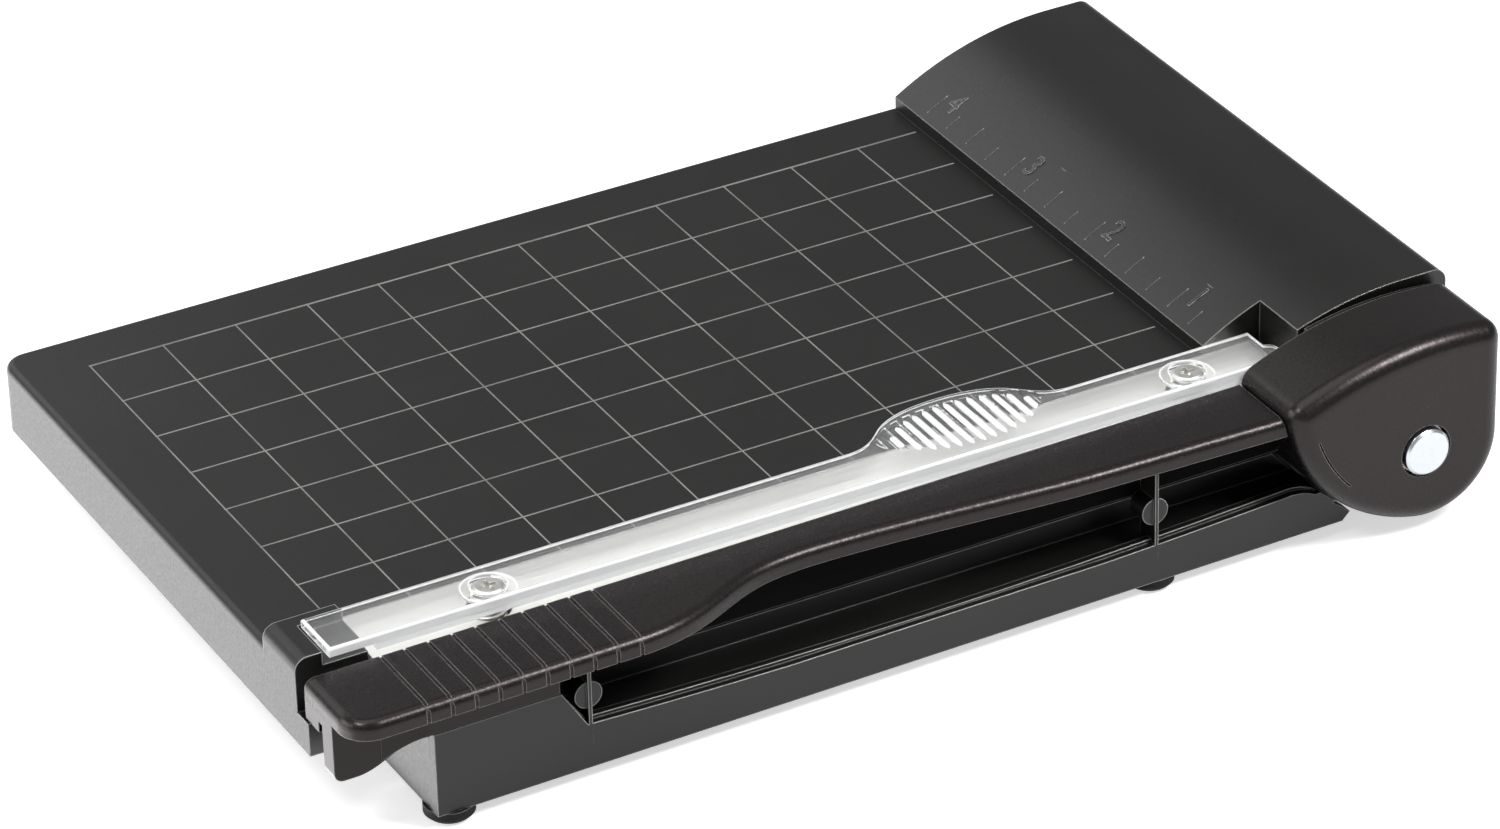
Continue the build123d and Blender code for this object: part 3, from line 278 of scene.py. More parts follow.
@dataclass(frozen=True)
class ClearAcrylic:
    """Moulded clear acrylic: refracting level faces with a thin haze, and edges painted white as a
    highlight.

    How level a face is, the size of its normal's z, goes from 0 on a wall to 1 on a flat top. Places are in
    the row frame, except the pad's middle, which is measured from the bar's left and back.
    """

    name: str
    colour: str
    face_haze: float
    # White haze on edges and fillets: a painted highlight.
    edge_haze: float
    front_haze: float
    back_haze: float
    roughness: float
    scuffed_roughness: float
    scuff_mm: float
    scuff_range: tuple[float, float] = (0.45, 0.75)
    front_mm: float = -46.0
    front_fade_mm: float = 1.0
    lip_haze: float = 0.6
    lip_top_mm: float = 27.0
    lip_fade_mm: float = 0.1
    wall_levels: tuple[float, float] = (0.05, 0.3)
    face_levels: tuple[float, float] = (0.92, 0.995)
    flat_levels: tuple[float, float] = (0.97, 0.99)
    edge_mm: float = 0.6
    edge_alike: tuple[float, float] = (0.98, 0.86)
    pad_half_mm: tuple[float, float] = (15.2, 6.7)
    pad_from_left_mm: float = 112.43
    pad_from_back_mm: float = 7.5

    def edge_line(self, tree: bpy.types.NodeTree, place: bpy.types.NodeSocket) -> bpy.types.NodeSocket:
        """Adds a painted highlight, a white line along every edge, left off inside the finger pad's oval.

        Args:
            tree: The material's tree.
            place: The Object coordinates.

        Returns:
            The line's haze.
        """
        _, alike = find_edges(tree, self.edge_mm)
        size = add_node(tree, "ShaderNodeMath", (alike,), operation="ABSOLUTE").outputs[0]
        by_edge = add_node(tree, "ShaderNodeMapRange", (size, *self.edge_alike, 0.0, self.edge_haze))
        (left, _, _), (_, back, _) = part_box("paper_guard")
        middle = (left + self.pad_from_left_mm * MM, back - self.pad_from_back_mm * MM)
        scale = [1 / (half * MM) for half in self.pad_half_mm]
        from_pad = add_node(
            tree,
            "ShaderNodeMapping",
            {
                "Vector": place,
                "Location": (-middle[0] * scale[0], -middle[1] * scale[1], 0.0),
                "Scale": (*scale, 0.0),
            },
        )
        reach = add_node(tree, "ShaderNodeVectorMath", (from_pad.outputs[0],), operation="LENGTH")
        off_pad = add_node(tree, "ShaderNodeMath", (reach.outputs["Value"], 1.0), operation="GREATER_THAN")
        line = add_node(
            tree, "ShaderNodeMath", (by_edge.outputs[0], off_pad.outputs[0]), operation="MULTIPLY"
        )
        return line.outputs[0]

    def make(self) -> bpy.types.Material:
        """Builds the material: haze that is thin on level faces and dense on the front wall, with edges
        painted white as a highlight.

        Level faces refract, walls let light straight through, and lamps shine through both. What lies below
        the bar's underside, such as the thin lip, has a haze of its own.

        Returns:
            The finished material.
        """
        material, tree = blank_material(self.name)
        coords = add_node(tree, "ShaderNodeTexCoord").outputs
        scuffs = add_node(
            tree,
            "ShaderNodeTexNoise",
            {"Vector": coords["Object"], "Scale": 1 / (self.scuff_mm * MM), "Detail": 3.0},
        )
        rough = add_node(
            tree,
            "ShaderNodeMapRange",
            (scuffs.outputs[0], *self.scuff_range, self.roughness, self.scuffed_roughness),
        )
        facing = add_node(tree, "ShaderNodeSeparateXYZ", (coords["Normal"],)).outputs["Z"]
        level = add_node(tree, "ShaderNodeMath", (facing,), operation="ABSOLUTE").outputs[0]
        _, depth, height = add_node(tree, "ShaderNodeSeparateXYZ", (coords["Object"],)).outputs
        front = (self.front_mm * MM, (self.front_mm + self.front_fade_mm) * MM)
        wall, lip = (
            add_node(tree, "ShaderNodeMapRange", (depth, *front, front_haze, self.back_haze)).outputs[0]
            for front_haze in (self.front_haze, self.lip_haze)
        )
        from_wall = add_node(tree, "ShaderNodeMapRange", (level, *self.wall_levels, wall, self.edge_haze))
        to_face = add_node(
            tree, "ShaderNodeMapRange", (level, *self.face_levels, self.edge_haze, self.face_haze)
        )
        by_slope = add_node(
            tree, "ShaderNodeMath", (from_wall.outputs[0], to_face.outputs[0]), operation="MINIMUM"
        )
        line = self.edge_line(tree, coords["Object"])
        bar = add_node(tree, "ShaderNodeMath", (by_slope.outputs[0], line), operation="MAXIMUM").outputs[0]
        lip_top = ((self.lip_top_mm - self.lip_fade_mm) * MM, self.lip_top_mm * MM)
        haze = add_node(tree, "ShaderNodeMapRange", (height, *lip_top, lip, bar)).outputs[0]
        flat = add_node(tree, "ShaderNodeMapRange", (level, *self.flat_levels)).outputs[0]
        shadow_ray = add_node(tree, "ShaderNodeLightPath").outputs["Is Shadow Ray"]
        refracting = add_node(
            tree, "ShaderNodeMath", (flat, shadow_ray), operation="SUBTRACT", use_clamp=True
        ).outputs[0]
        solid = add_node(tree, "ShaderNodeMath", (haze, refracting), operation="MAXIMUM")
        through = add_node(tree, "ShaderNodeMath", (refracting, haze), operation="SUBTRACT", use_clamp=True)
        shader = add_node(
            tree,
            "ShaderNodeBsdfPrincipled",
            {
                "Base Color": linear(self.colour),
                "Roughness": rough.outputs[0],
                "IOR": ACRYLIC_IOR,
                "Transmission Weight": through.outputs[0],
                "Alpha": solid.outputs[0],
            },
        )
        close_material(tree, shader)
        return material


@dataclass(frozen=True)
class WorkedSteel:
    """Metal with the marks of its working: long streaks from grinding, or an even mottle from plating."""

    name: str
    colour: str
    dark_colour: str
    roughness: float
    roughness_spread: float
    streak_mm: tuple[float, float, float]
    streak_depth_mm: float
    edge_mm: float = 0.15

    def make(self) -> bpy.types.Material:
        """Builds the material: streaks stretched along the working direction.

        Returns:
            The finished material.
        """
        material, tree = blank_material(self.name)
        place = add_node(tree, "ShaderNodeTexCoord").outputs["Object"]
        stretched = add_node(
            tree,
            "ShaderNodeMapping",
            {"Vector": place, "Scale": tuple(1 / (length * MM) for length in self.streak_mm)},
        )
        streaks = add_node(
            tree, "ShaderNodeTexNoise", {"Vector": stretched.outputs[0], "Scale": 1.0, "Detail": 3.0}
        )
        colour = add_node(
            tree,
            "ShaderNodeMix",
            {FACTOR: streaks.outputs[0], COLOUR_A: linear(self.dark_colour), COLOUR_B: linear(self.colour)},
            data_type="RGBA",
        )
        spread = (self.roughness - self.roughness_spread, self.roughness + self.roughness_spread)
        rough = add_node(tree, "ShaderNodeMapRange", (streaks.outputs[0], *NOISE_RANGE, *spread))
        rounded = add_node(tree, "ShaderNodeBevel", {"Radius": self.edge_mm * MM}, samples=4).outputs[0]
        bump = add_node(
            tree,
            "ShaderNodeBump",
            {"Height": streaks.outputs[0], "Distance": self.streak_depth_mm * MM, "Normal": rounded},
        )
        shader = add_node(
            tree,
            "ShaderNodeBsdfPrincipled",
            {
                "Base Color": colour.outputs[COLOUR_OUT],
                "Metallic": 1.0,
                "Roughness": rough.outputs[0],
                "Normal": bump.outputs[0],
            },
        )
        close_material(tree, shader)
        return material


@dataclass(frozen=True)
class PrintedInk:
    """Pad-printed ink: a thin matt film, a little uneven where the pad lifted."""

    name: str
    colour: str
    thin_colour: str
    roughness: float
    patch_mm: float
    thin_range: tuple[float, float] = (0.4, 0.65)

    def make(self) -> bpy.types.Material:
        """Builds the material: ink that thins in patches.

        Returns:
            The finished material.
        """
        material, tree = blank_material(self.name)
        place = add_node(tree, "ShaderNodeTexCoord").outputs["Object"]
        patches = add_node(
            tree,
            "ShaderNodeTexNoise",
            {"Vector": place, "Scale": 1 / (self.patch_mm * MM), "Detail": 3.0},
        )
        thin = add_node(tree, "ShaderNodeMapRange", (patches.outputs[0], *self.thin_range))
        colour = add_node(
            tree,
            "ShaderNodeMix",
            {FACTOR: thin.outputs[0], COLOUR_A: linear(self.colour), COLOUR_B: linear(self.thin_colour)},
            data_type="RGBA",
        )
        sockets = {"Base Color": colour.outputs[COLOUR_OUT], "Roughness": self.roughness}
        close_material(tree, add_node(tree, "ShaderNodeBsdfPrincipled", sockets))
        return material


class Finish(Enum):
    """The finishes of the trimmer."""

    # Black ABS, satin from a lightly eroded tool: grey sheen, no clear mirror image, painted edge
    # highlight.
    TABLE = MouldedPlastic(
        "satin_abs",
        "#10100f",
        "#161615",
        roughness=0.38,
        roughness_spread=0.06,
        specular=0.46,
        grain_mm=0.45,
        grain_depth_mm=0.004,
        edge_colour="#c4c4c0",
    )
    # The floor plate comes from the same plastic with a coarser grain, so it looks duller.
    PLATE = MouldedPlastic(
        "coarse_abs",
        "#161616",
        "#1c1c1c",
        roughness=0.55,
        roughness_spread=0.06,
        specular=0.4,
        grain_mm=0.7,
        grain_depth_mm=0.01,
    )
    # The ruler cover is the smoothest moulding and shows the brightest sheen, with a painted edge
    # highlight.
    COVER = MouldedPlastic(
        "smooth_abs",
        "#0f0f0e",
        "#141413",
        roughness=0.31,
        roughness_spread=0.04,
        specular=0.5,
        grain_mm=0.4,
        grain_depth_mm=0.0015,
        edge_colour="#a8a8a4",
    )
    # The arm and hub have a pebbled grip grain that can be seen from near, a warmer black and a painted
    # edge highlight.
    ARM = MouldedPlastic(
        "grained_abs",
        "#100e0e",
        "#171414",
        roughness=0.3,
        roughness_spread=0.06,
        specular=0.36,
        grain_mm=0.55,
        grain_depth_mm=0.014,
        edge_mm=0.25,
        edge_colour="#8e8a86",
        gloss_tint="#fff1f3",
    )
    # The arm's frame is polished on the fin, where it shows, and rough from the tool on the web, which
    # reads black because its gloss tint is dimmed there to paint the shade under the cap.
    FRAME = MouldedPlastic(
        "frame_abs",
        "#0b0a0a",
        "#100f0f",
        roughness=0.22,
        roughness_spread=0.04,
        specular=0.29,
        grain_mm=0.6,
        grain_depth_mm=0.001,
        edge_mm=0.25,
        gloss_tint="#fff1f3",
        matt_beyond_mm=-64.0,
    )
    # The ruler's marks are cut bright in the tool, so their small round tops glint; a painted highlight
    # brightens their edges.
    MARKS = MouldedPlastic(
        "polished_abs",
        "#161615",
        "#1c1c1b",
        roughness=0.2,
        roughness_spread=0.02,
        specular=0.5,
        grain_mm=0.4,
        grain_depth_mm=0.0005,
        edge_mm=0.08,
        edge_colour="#dededa",
    )
    # Moulded rubber: matt and nearly black, with hardly a gleam.
    RUBBER = MouldedPlastic(
        "moulded_rubber",
        "#0f0f0f",
        "#161616",
        roughness=0.75,
        roughness_spread=0.05,
        specular=0.3,
        grain_mm=0.6,
        grain_depth_mm=0.01,
    )
    # Clear moulded acrylic: what lies below shows through a little shifted, and the edges are painted white
    # as a highlight.
    CLEAR = ClearAcrylic(
        "clear_acrylic",
        "#f7f8f9",
        face_haze=0.03,
        edge_haze=0.95,
        front_haze=0.8,
        back_haze=0.06,
        roughness=0.05,
        scuffed_roughness=0.12,
        scuff_mm=6.0,
    )
    # The pad's ribs are frosted in the tool, so they scatter light and read white.
    FROSTED = ClearAcrylic(
        "frosted_acrylic",
        "#f7f8f9",
        face_haze=0.6,
        edge_haze=0.75,
        front_haze=0.7,
        back_haze=0.7,
        roughness=0.35,
        scuffed_roughness=0.45,
        scuff_mm=2.0,
    )
    # Surface-ground strip: pale streaks along the cut, drawn coarser than real grit so that they show.
    KNIFE = WorkedSteel(
        "ground_steel",
        "#f0efeb",
        "#e0dfdb",
        roughness=0.5,
        roughness_spread=0.06,
        streak_mm=(40.0, 0.5, 0.5),
        streak_depth_mm=0.004,
    )
    # Drawn spring wire: a soft grey shine.
    SPRING = WorkedSteel(
        "drawn_spring_steel",
        "#dcdbd6",
        "#c8c7c2",
        roughness=0.45,
        roughness_spread=0.05,
        streak_mm=(0.8, 0.8, 3.0),
        streak_depth_mm=0.002,
    )
    # Zinc plate: pale and satin, with a faint mottle.
    ZINC = WorkedSteel(
        "zinc_plated_steel",
        "#e6e5e1",
        "#d2d1cc",
        roughness=0.46,
        roughness_spread=0.06,
        streak_mm=(1.2, 1.2, 1.2),
        streak_depth_mm=0.003,
    )
    # Bright plate over a turned head: nearly white, a shade cold.
    CHROME = WorkedSteel(
        "bright_plated_steel",
        "#e4e9ee",
        "#d6dbe0",
        roughness=0.3,
        roughness_spread=0.04,
        streak_mm=(1.5, 1.5, 1.5),
        streak_depth_mm=0.002,
    )
    # Turned brass: yellow and bright, with fine streaks along the bore.
    BRASS = WorkedSteel(
        "turned_brass",
        "#cda858",
        "#b48f42",
        roughness=0.3,
        roughness_spread=0.05,
        streak_mm=(0.3, 6.0, 0.3),
        streak_depth_mm=0.002,
    )
    # Pad-printed ink: a thin grey film that looks worn on black.
    INK = PrintedInk("pale_ink", "#7e7e7c", "#696968", roughness=0.6, patch_mm=7.0)

    def material(self) -> bpy.types.Material:
        """Gives the finish's material, made once."""
        return bpy.data.materials.get(self.value.name) or self.value.make()


def dress(finish: Finish, *nodes: str) -> None:
    """Gives CAD nodes a finish in place of the plain one they came with.

    Args:
        finish: The finish to use.
        *nodes: Names of CAD nodes.
    """
    for name in nodes:
        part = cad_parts[name]
        part.data.materials.clear()
        part.data.materials.append(finish.material())
        LOG.info("%s: %s", name, finish.value.name)


def eased(share: np.ndarray) -> np.ndarray:
    """Smooth step s(t) = t^2 (3 - 2 t), which stays at 0 before its start and at 1 past its end.

    Args:
        share: How far along each place is, with 0 at the start and 1 at the end.

    Returns:
        The eased shares.
    """
    held = np.clip(share, 0, 1)
    return held**2 * (3 - 2 * held)


def ring_faces(tubes: int, stations: int, sides: int) -> list[list[int]]:
    """Joins rings of points into closed tubes.

    Args:
        tubes: How many tubes there are.
        stations: Rings in each tube.
        sides: Points in each ring.

    Returns:
        Faces as lists of vertex numbers, with both ends of each tube closed.
    """
    first = np.arange(tubes)[:, None, None] * stations * sides
    corner = np.arange(sides)[None, None, :]
    low = first + np.arange(stations - 1)[None, :, None] * sides
    near, far = low + corner, low + (corner + 1) % sides
    quads = np.stack([near, far, far + sides, near + sides], axis=-1).reshape(-1, 4)
    start_caps = first[:, 0] + np.arange(sides)[::-1]
    end_caps = first[:, 0] + (stations - 1) * sides + np.arange(sides)
    return [*quads.tolist(), *start_caps.tolist(), *end_caps.tolist()]


def swept_tubes(
    paths: np.ndarray, across: np.ndarray, up: np.ndarray, profile: np.ndarray, taper: np.ndarray
) -> tuple[np.ndarray, list[list[int]]]:
    """Carries one closed profile along many paths.

    Each tube is P(u, v) = path(u) + taper(u) * (profile_x(v) * across(u) + profile_y(v) * up(u)), with u
    along the path and v round the profile. The ends are closed by the profile itself.

    Args:
        paths: Path points, tubes by stations by 3, in metres.
        across: Unit directions for the profile's x, of a shape that spreads over paths.
        up: Unit directions for the profile's y, likewise.
        profile: Closed outline, corners by 2, in metres.
        taper: Scale of the profile at each station.

    Returns:
        Vertices by 3, and the faces as lists of vertex numbers.
    """
    spread = profile[:, 0, None] * across[..., None, :] + profile[:, 1, None] * up[..., None, :]
    points = paths[:, :, None, :] + taper[None, :, None, None] * spread
    return points.reshape(-1, 3), ring_faces(*paths.shape[:2], len(profile))


def add_piece(
    name: str,
    points: np.ndarray,
    faces: list[list[int]],
    finish: Finish,
    body: Body,
    smooth: bool,
) -> bpy.types.Object:
    """Makes a mesh piece, with its faces outwards, that rides on a body.

    Args:
        name: The piece's name.
        points: Vertices by 3, in metres in the row frame.
        faces: Faces as lists of vertex numbers.
        finish: The piece's finish.
        body: The body that it rides on.
        smooth: Whether its faces are shaded smooth.

    Returns:
        The new object.
    """
    quads = np.array([face for face in faces if len(face) == 4])
    a, b, c, d = (points[quads[:, i]] for i in range(4))
    volume = np.einsum("ij,ij->", a, np.cross(b, c)) + np.einsum("ij,ij->", a, np.cross(c, d))
    if volume < 0:
        faces = [face[::-1] for face in faces]
    mesh = bpy.data.meshes.new(name)
    mesh.from_pydata(points.tolist(), [], faces)
    mesh.polygons.foreach_set("use_smooth", [smooth] * len(mesh.polygons))
    mesh.materials.append(finish.material())
    piece = bpy.data.objects.new(name, mesh)
    bpy.context.scene.collection.objects.link(piece)
    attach(piece, body.value)
    LOG.info("%s: %d faces, rides on %s", name, len(faces), body.value)
    return piece


@dataclass
class GriddedTable:
    """The hollow table with its pedestal, floor plate, feet, bed knife and printed half-inch grid."""

    square: float = 12.7
    columns: int = 12
    rows: int = 7
    left_margin: float = 11.5
    back_margin: float = 10.0
    right_gap: float = 1.1
    front_gap: float = 0.4
    line_width: float = 0.32
    column_width: float = 0.27
    back_line_width: float = 0.42
    crown_share: float = 0.84
    film: float = 0.03
    column_film_share: float = 0.8
    film_bite: float = 0.05

    def line_profile(self, width: float, film: float) -> np.ndarray:
        """Low trapezium of ink, sunk a little into the table.

        Args:
            width: Width of the line.
            film: Height of the ink.

        Returns:
            Corners by 2, in metres.
        """
        half = width / 2
        crown = half * self.crown_share
        corners = [(-half, 0), (-crown, film), (crown, film), (half, 0), (half, -self.film_bite)]
        return np.array([*corners, (-half, -self.film_bite)]) * MM

    def build_grid(self) -> bpy.types.Object:
        """Builds the printed lines as one piece.

        Columns run from the back line to the knife and rows from the first column to the ruler cover. The
        columns' film is a shade lower, so that the crossings don't share a face.

        Returns:
            The grid.
        """
        low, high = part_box("base_housing")
        _, knife_back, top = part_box("bed_knife")[1]
        left = low[0] + self.left_margin * MM
        back = high[1] - self.back_margin * MM
        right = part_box("ruler_cover")[0][0] - self.right_gap * MM
        front = knife_back + self.front_gap * MM
        x = left + np.arange(self.columns) * self.square * MM
        y = back - np.arange(self.rows) * self.square * MM
        half = self.back_line_width / 2 * MM
        column_ends = np.stack([np.full(self.columns, back + half), np.full(self.columns, front)], axis=1)
        columns = np.stack([np.repeat(x[:, None], 2, 1), column_ends, np.full((self.columns, 2), top)], -1)
        row_ends = np.stack([np.full(self.rows, left - half), np.full(self.rows, right)], axis=1)
        rows = np.stack([row_ends, np.repeat(y[:, None], 2, 1), np.full((self.rows, 2), top)], -1)
        thin = self.line_profile(self.column_width, self.film * self.column_film_share)
        plain = self.line_profile(self.line_width, self.film)
        wide = self.line_profile(self.back_line_width, self.film)
        points, faces = np.empty((0, 3)), []
        for paths, across, profile in (
            (columns, ALONG_X, thin),
            (rows[1:], ALONG_Y, plain),
            (rows[:1], ALONG_Y, wide),
        ):
            more, sides = swept_tubes(paths, across, ALONG_Z, profile, np.ones(2))
            faces += [[corner + len(points) for corner in face] for face in sides]
            points = np.concatenate([points, more])
        return add_piece("table_grid", points, faces, Finish.INK, Body.BASE, False)

    def build(self) -> None:
        """Dresses the base's solids and prints the grid."""
        dress(Finish.TABLE, "base_housing")
        dress(Finish.PLATE, "base_plate")
        dress(Finish.ZINC, "plate_screws")
        dress(Finish.RUBBER, "foot_front_left", "foot_front_right", "foot_rear_left", "foot_rear_right")
        dress(Finish.KNIFE, "bed_knife")
        self.build_grid()


@dataclass
class RulerCover:
    """The curved cover with raised ruler marks and numbers along its low edge."""

    inch: float = 25.4
    front_height: float = 2.3
    flat_run: float = 8.4
    tick_start: float = 1.1
    tick_lengths: tuple[float, float, float] = (2.7, 3.6, 4.1)
    first_quarter: int = 3
    last_quarter: int = 16
    tick_half_width: float = 0.14
    tick_height: float = 0.1
    tick_taper: float = 0.96
    tick_bluntness: int = 8
    tick_stations: int = 9
    tick_sides: int = 10
    last_number: int = 4
    digit_height: float = 3.8
    digit_relief: float = 0.14
    digit_sink: float = 0.12
    digit_start: float = 3.1
    digit_offset: float = 3.1
    letter_share: float = 0.7
    letter_steps: int = 6

    def level(self, x: np.ndarray) -> np.ndarray:
        """Height of the cover's top: an arc that meets the flat run at a tangent.

        It is z(x) = z_top - R + sqrt(R^2 - max(0, x_flat - x)^2), with R = (run^2 + rise^2) / (2 rise).

        Args:
            x: Places along the table, in metres.

        Returns:
            Heights in metres.
        """
        low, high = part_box("ruler_cover")
        flat_x = high[0] - self.flat_run * MM
        run, rise = flat_x - low[0], high[2] - low[2] - self.front_height * MM
        radius = (run**2 + rise**2) / (2 * rise)
        return high[2] - radius + np.sqrt(radius**2 - np.maximum(0, flat_x - x) ** 2)

    def build_ticks(self) -> bpy.types.Object:
        """Builds the tick marks: half-sunk elliptic ridges that follow the cover's curve.

        With t from -1 to 1 along a tick, its section is scaled by sqrt(1 - taper * t^bluntness).

        Returns:
            The ticks as one piece.
        """
        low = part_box("ruler_cover")[0]
        quarters = np.arange(self.first_quarter, self.last_quarter + 1)
        short, middle, long = self.tick_lengths
        lengths = np.where(quarters % 4 == 0, long, np.where(quarters % 2 == 0, middle, short)) * MM
        share = np.linspace(0, 1, self.tick_stations)
        x = low[0] + self.tick_start * MM + lengths[:, None] * share[None, :]
        y = np.broadcast_to((self.zero() + quarters * self.inch / 4 * MM)[:, None], x.shape)
        z = self.level(x)
        paths = np.stack([x, y, z], axis=-1)
        slope = np.gradient(z, axis=1) / np.gradient(x, axis=1)
        up = np.stack([-slope, np.zeros_like(slope), np.ones_like(slope)], axis=-1)
        up /= np.linalg.norm(up, axis=-1, keepdims=True)
        turn = np.linspace(0, 2 * np.pi, self.tick_sides, endpoint=False)
        ellipse = [self.tick_half_width * np.cos(turn), self.tick_height * np.sin(turn)]
        taper = np.sqrt(1 - self.tick_taper * (2 * share - 1) ** self.tick_bluntness)
        points, faces = swept_tubes(paths, ALONG_Y, up, np.stack(ellipse, axis=-1) * MM, taper)
        return add_piece("ruler_ticks", points, faces, Finish.MARKS, Body.BASE, True)

    def zero(self) -> float:
        """Place of the ruler's zero, which is the knife's cutting edge."""
        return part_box("bed_knife")[0][1]

    def build_digit(self, number: int) -> bpy.types.Object:
        """Builds a raised number that lies on the curve and reads from the grip's end of the table.

        The flat letter's up goes along +X and its right along -Y, and each point is then lifted to the
        cover's level there.

        Args:
            number: The inch to name.

        Returns:
            The number as a piece.
        """
        name = f"ruler_number_{number}"
        letter = bpy.data.curves.new(name, "FONT")
        letter.body = str(number)
        letter.align_x = letter.align_y = "CENTER"
        letter.size = self.digit_height / self.letter_share * MM
        letter.extrude = (self.digit_relief + self.digit_sink) / 2 * MM
        letter.resolution_u = self.letter_steps
        holder = bpy.data.objects.new(name, letter)
        mesh = bpy.data.meshes.new_from_object(holder)
        bpy.data.objects.remove(holder)
        bpy.data.curves.remove(letter)
        flat = np.empty(len(mesh.vertices) * 3)
        mesh.vertices.foreach_get("co", flat)
        flat = flat.reshape(-1, 3)
        flat -= (flat.min(axis=0) + flat.max(axis=0)) / 2
        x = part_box("ruler_cover")[0][0] + (self.digit_start + self.digit_height / 2) * MM + flat[:, 1]
        y = self.zero() + (number * self.inch - self.digit_offset) * MM - flat[:, 0]
        z = self.level(x) + flat[:, 2] + (self.digit_relief - self.digit_sink) / 2 * MM
        mesh.vertices.foreach_set("co", np.stack([x, y, z], axis=-1).ravel())
        mesh.update()
        mesh.materials.clear()
        mesh.materials.append(Finish.MARKS.material())
        piece = bpy.data.objects.new(name, mesh)
        bpy.context.scene.collection.objects.link(piece)
        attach(piece, Body.BASE.value)
        LOG.info("%s: %d faces", piece.name, len(mesh.polygons))
        return piece

    def build(self) -> None:
        """Dresses the cover and adds its marks."""
        dress(Finish.COVER, "ruler_cover")
        dress(Finish.ZINC, "cover_screws")
        self.build_ticks()
        for number in range(1, self.last_number + 1):
            self.build_digit(number)


@dataclass
class PressBar:
    """The clear sprung bar with its ribbed finger pad, two screws and coil springs."""

    travel: float = 1.7
    wire: float = 0.8
    turns: float = 6.5
    closed_turns: float = 0.75
    stations_per_turn: int = 28
    wire_sides: int = 10
    pad_from_left: float = 112.86
    pad_from_back: float = 8.7
    pad_half_length: float = 12.35
    pad_half_width: float = 6.5
    rib_count: int = 13
    rib_pitch: float = 1.99
    rib_half_width: float = 0.54
    rib_height: float = 0.24
    rib_depth: float = 0.55
    rib_taper: float = 0.97
    rib_bluntness: int = 12
    rib_stations: int = 15
    rib_sides: int = 12

    def build_springs(self) -> bpy.types.Object:
        """Builds both coil springs in place of their plain sleeves.

        The wire's centre is at (r cos t, r sin t, z(t)) about each screw, where z rests in the closed turns
        at both ends and rises evenly between them.

        Returns:
            The springs as one piece.
        """
        low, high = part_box("guard_springs")
        radius = (high[1] - low[1]) / 2
        middle = (low[1] + high[1]) / 2
        mean, half = radius - self.wire / 2 * MM, self.wire / 2 * MM
        share = np.linspace(0, 1, int(self.turns * self.stations_per_turn) + 1)
        angle = 2 * np.pi * self.turns * share
        closed = self.closed_turns / self.turns
        climb = np.clip((share - closed) / (1 - 2 * closed), 0, 1)
        z = low[2] + half + (high[2] - low[2] - 2 * half) * climb
        centres = np.array([low[0] + radius, high[0] - radius])
        x = centres[:, None] + mean * np.cos(angle)[None, :]
        y = middle + mean * np.sin(angle)[None, :] + np.zeros_like(x)
        paths = np.stack([x, y, np.broadcast_to(z, x.shape)], axis=-1)
        outward = np.stack([np.cos(angle), np.sin(angle), np.zeros_like(angle)], axis=-1)[None]
        turn = np.linspace(0, 2 * np.pi, self.wire_sides, endpoint=False)
        circle = np.stack([np.cos(turn), np.sin(turn)], axis=-1) * half
        points, faces = swept_tubes(paths, outward, ALONG_Z, circle, np.ones_like(share))
        piece = add_piece("coil_springs", points, faces, Finish.SPRING, Body.BASE, True)
        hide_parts("guard_springs")
        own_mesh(piece)
        return piece

    def build_pad_ribs(self) -> bpy.types.Object:
        """Builds the finger pad's ribs: elliptic ridges in an oval, deep enough to stand in its dish.

        A rib at distance d from the pad's middle is as long as the oval is wide there,
        2 b sqrt(1 - (d / a)^2). With t from -1 to 1 along it, its section is scaled by
        sqrt(1 - taper * t^bluntness), so that it ends nearly in a point.

        Returns:
            The ribs as one piece.
        """
        low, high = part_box("paper_guard")
        away = (np.arange(self.rib_count) - (self.rib_count - 1) / 2) * self.rib_pitch
        reach = self.pad_half_width * np.sqrt(1 - (away / self.pad_half_length) ** 2)
        share = np.linspace(-1, 1, self.rib_stations)
        x = low[0] + (self.pad_from_left + away)[:, None] * MM + np.zeros(self.rib_stations)
        y = high[1] - self.pad_from_back * MM + reach[:, None] * share * MM
        paths = np.stack([x, y, np.full_like(x, high[2])], axis=-1)
        turn = np.linspace(0, 2 * np.pi, self.rib_sides, endpoint=False)
        rise = np.where(np.sin(turn) > 0, self.rib_height, self.rib_depth) * np.sin(turn)
        section = np.stack([self.rib_half_width * np.cos(turn), rise], axis=-1) * MM
        taper = np.sqrt(1 - self.rib_taper * share**self.rib_bluntness)
        points, faces = swept_tubes(paths, ALONG_X, ALONG_Z, section, taper)
        return add_piece("pad_ribs", points, faces, Finish.FROSTED, Body.GUARD, True)

    def build(self) -> None:
        """Dresses the bar and its screws, ribs the pad and winds the springs."""
        dress(Finish.CLEAR, "paper_guard")
        dress(Finish.ZINC, "guard_screws")
        self.build_pad_ribs()
        self.build_springs()


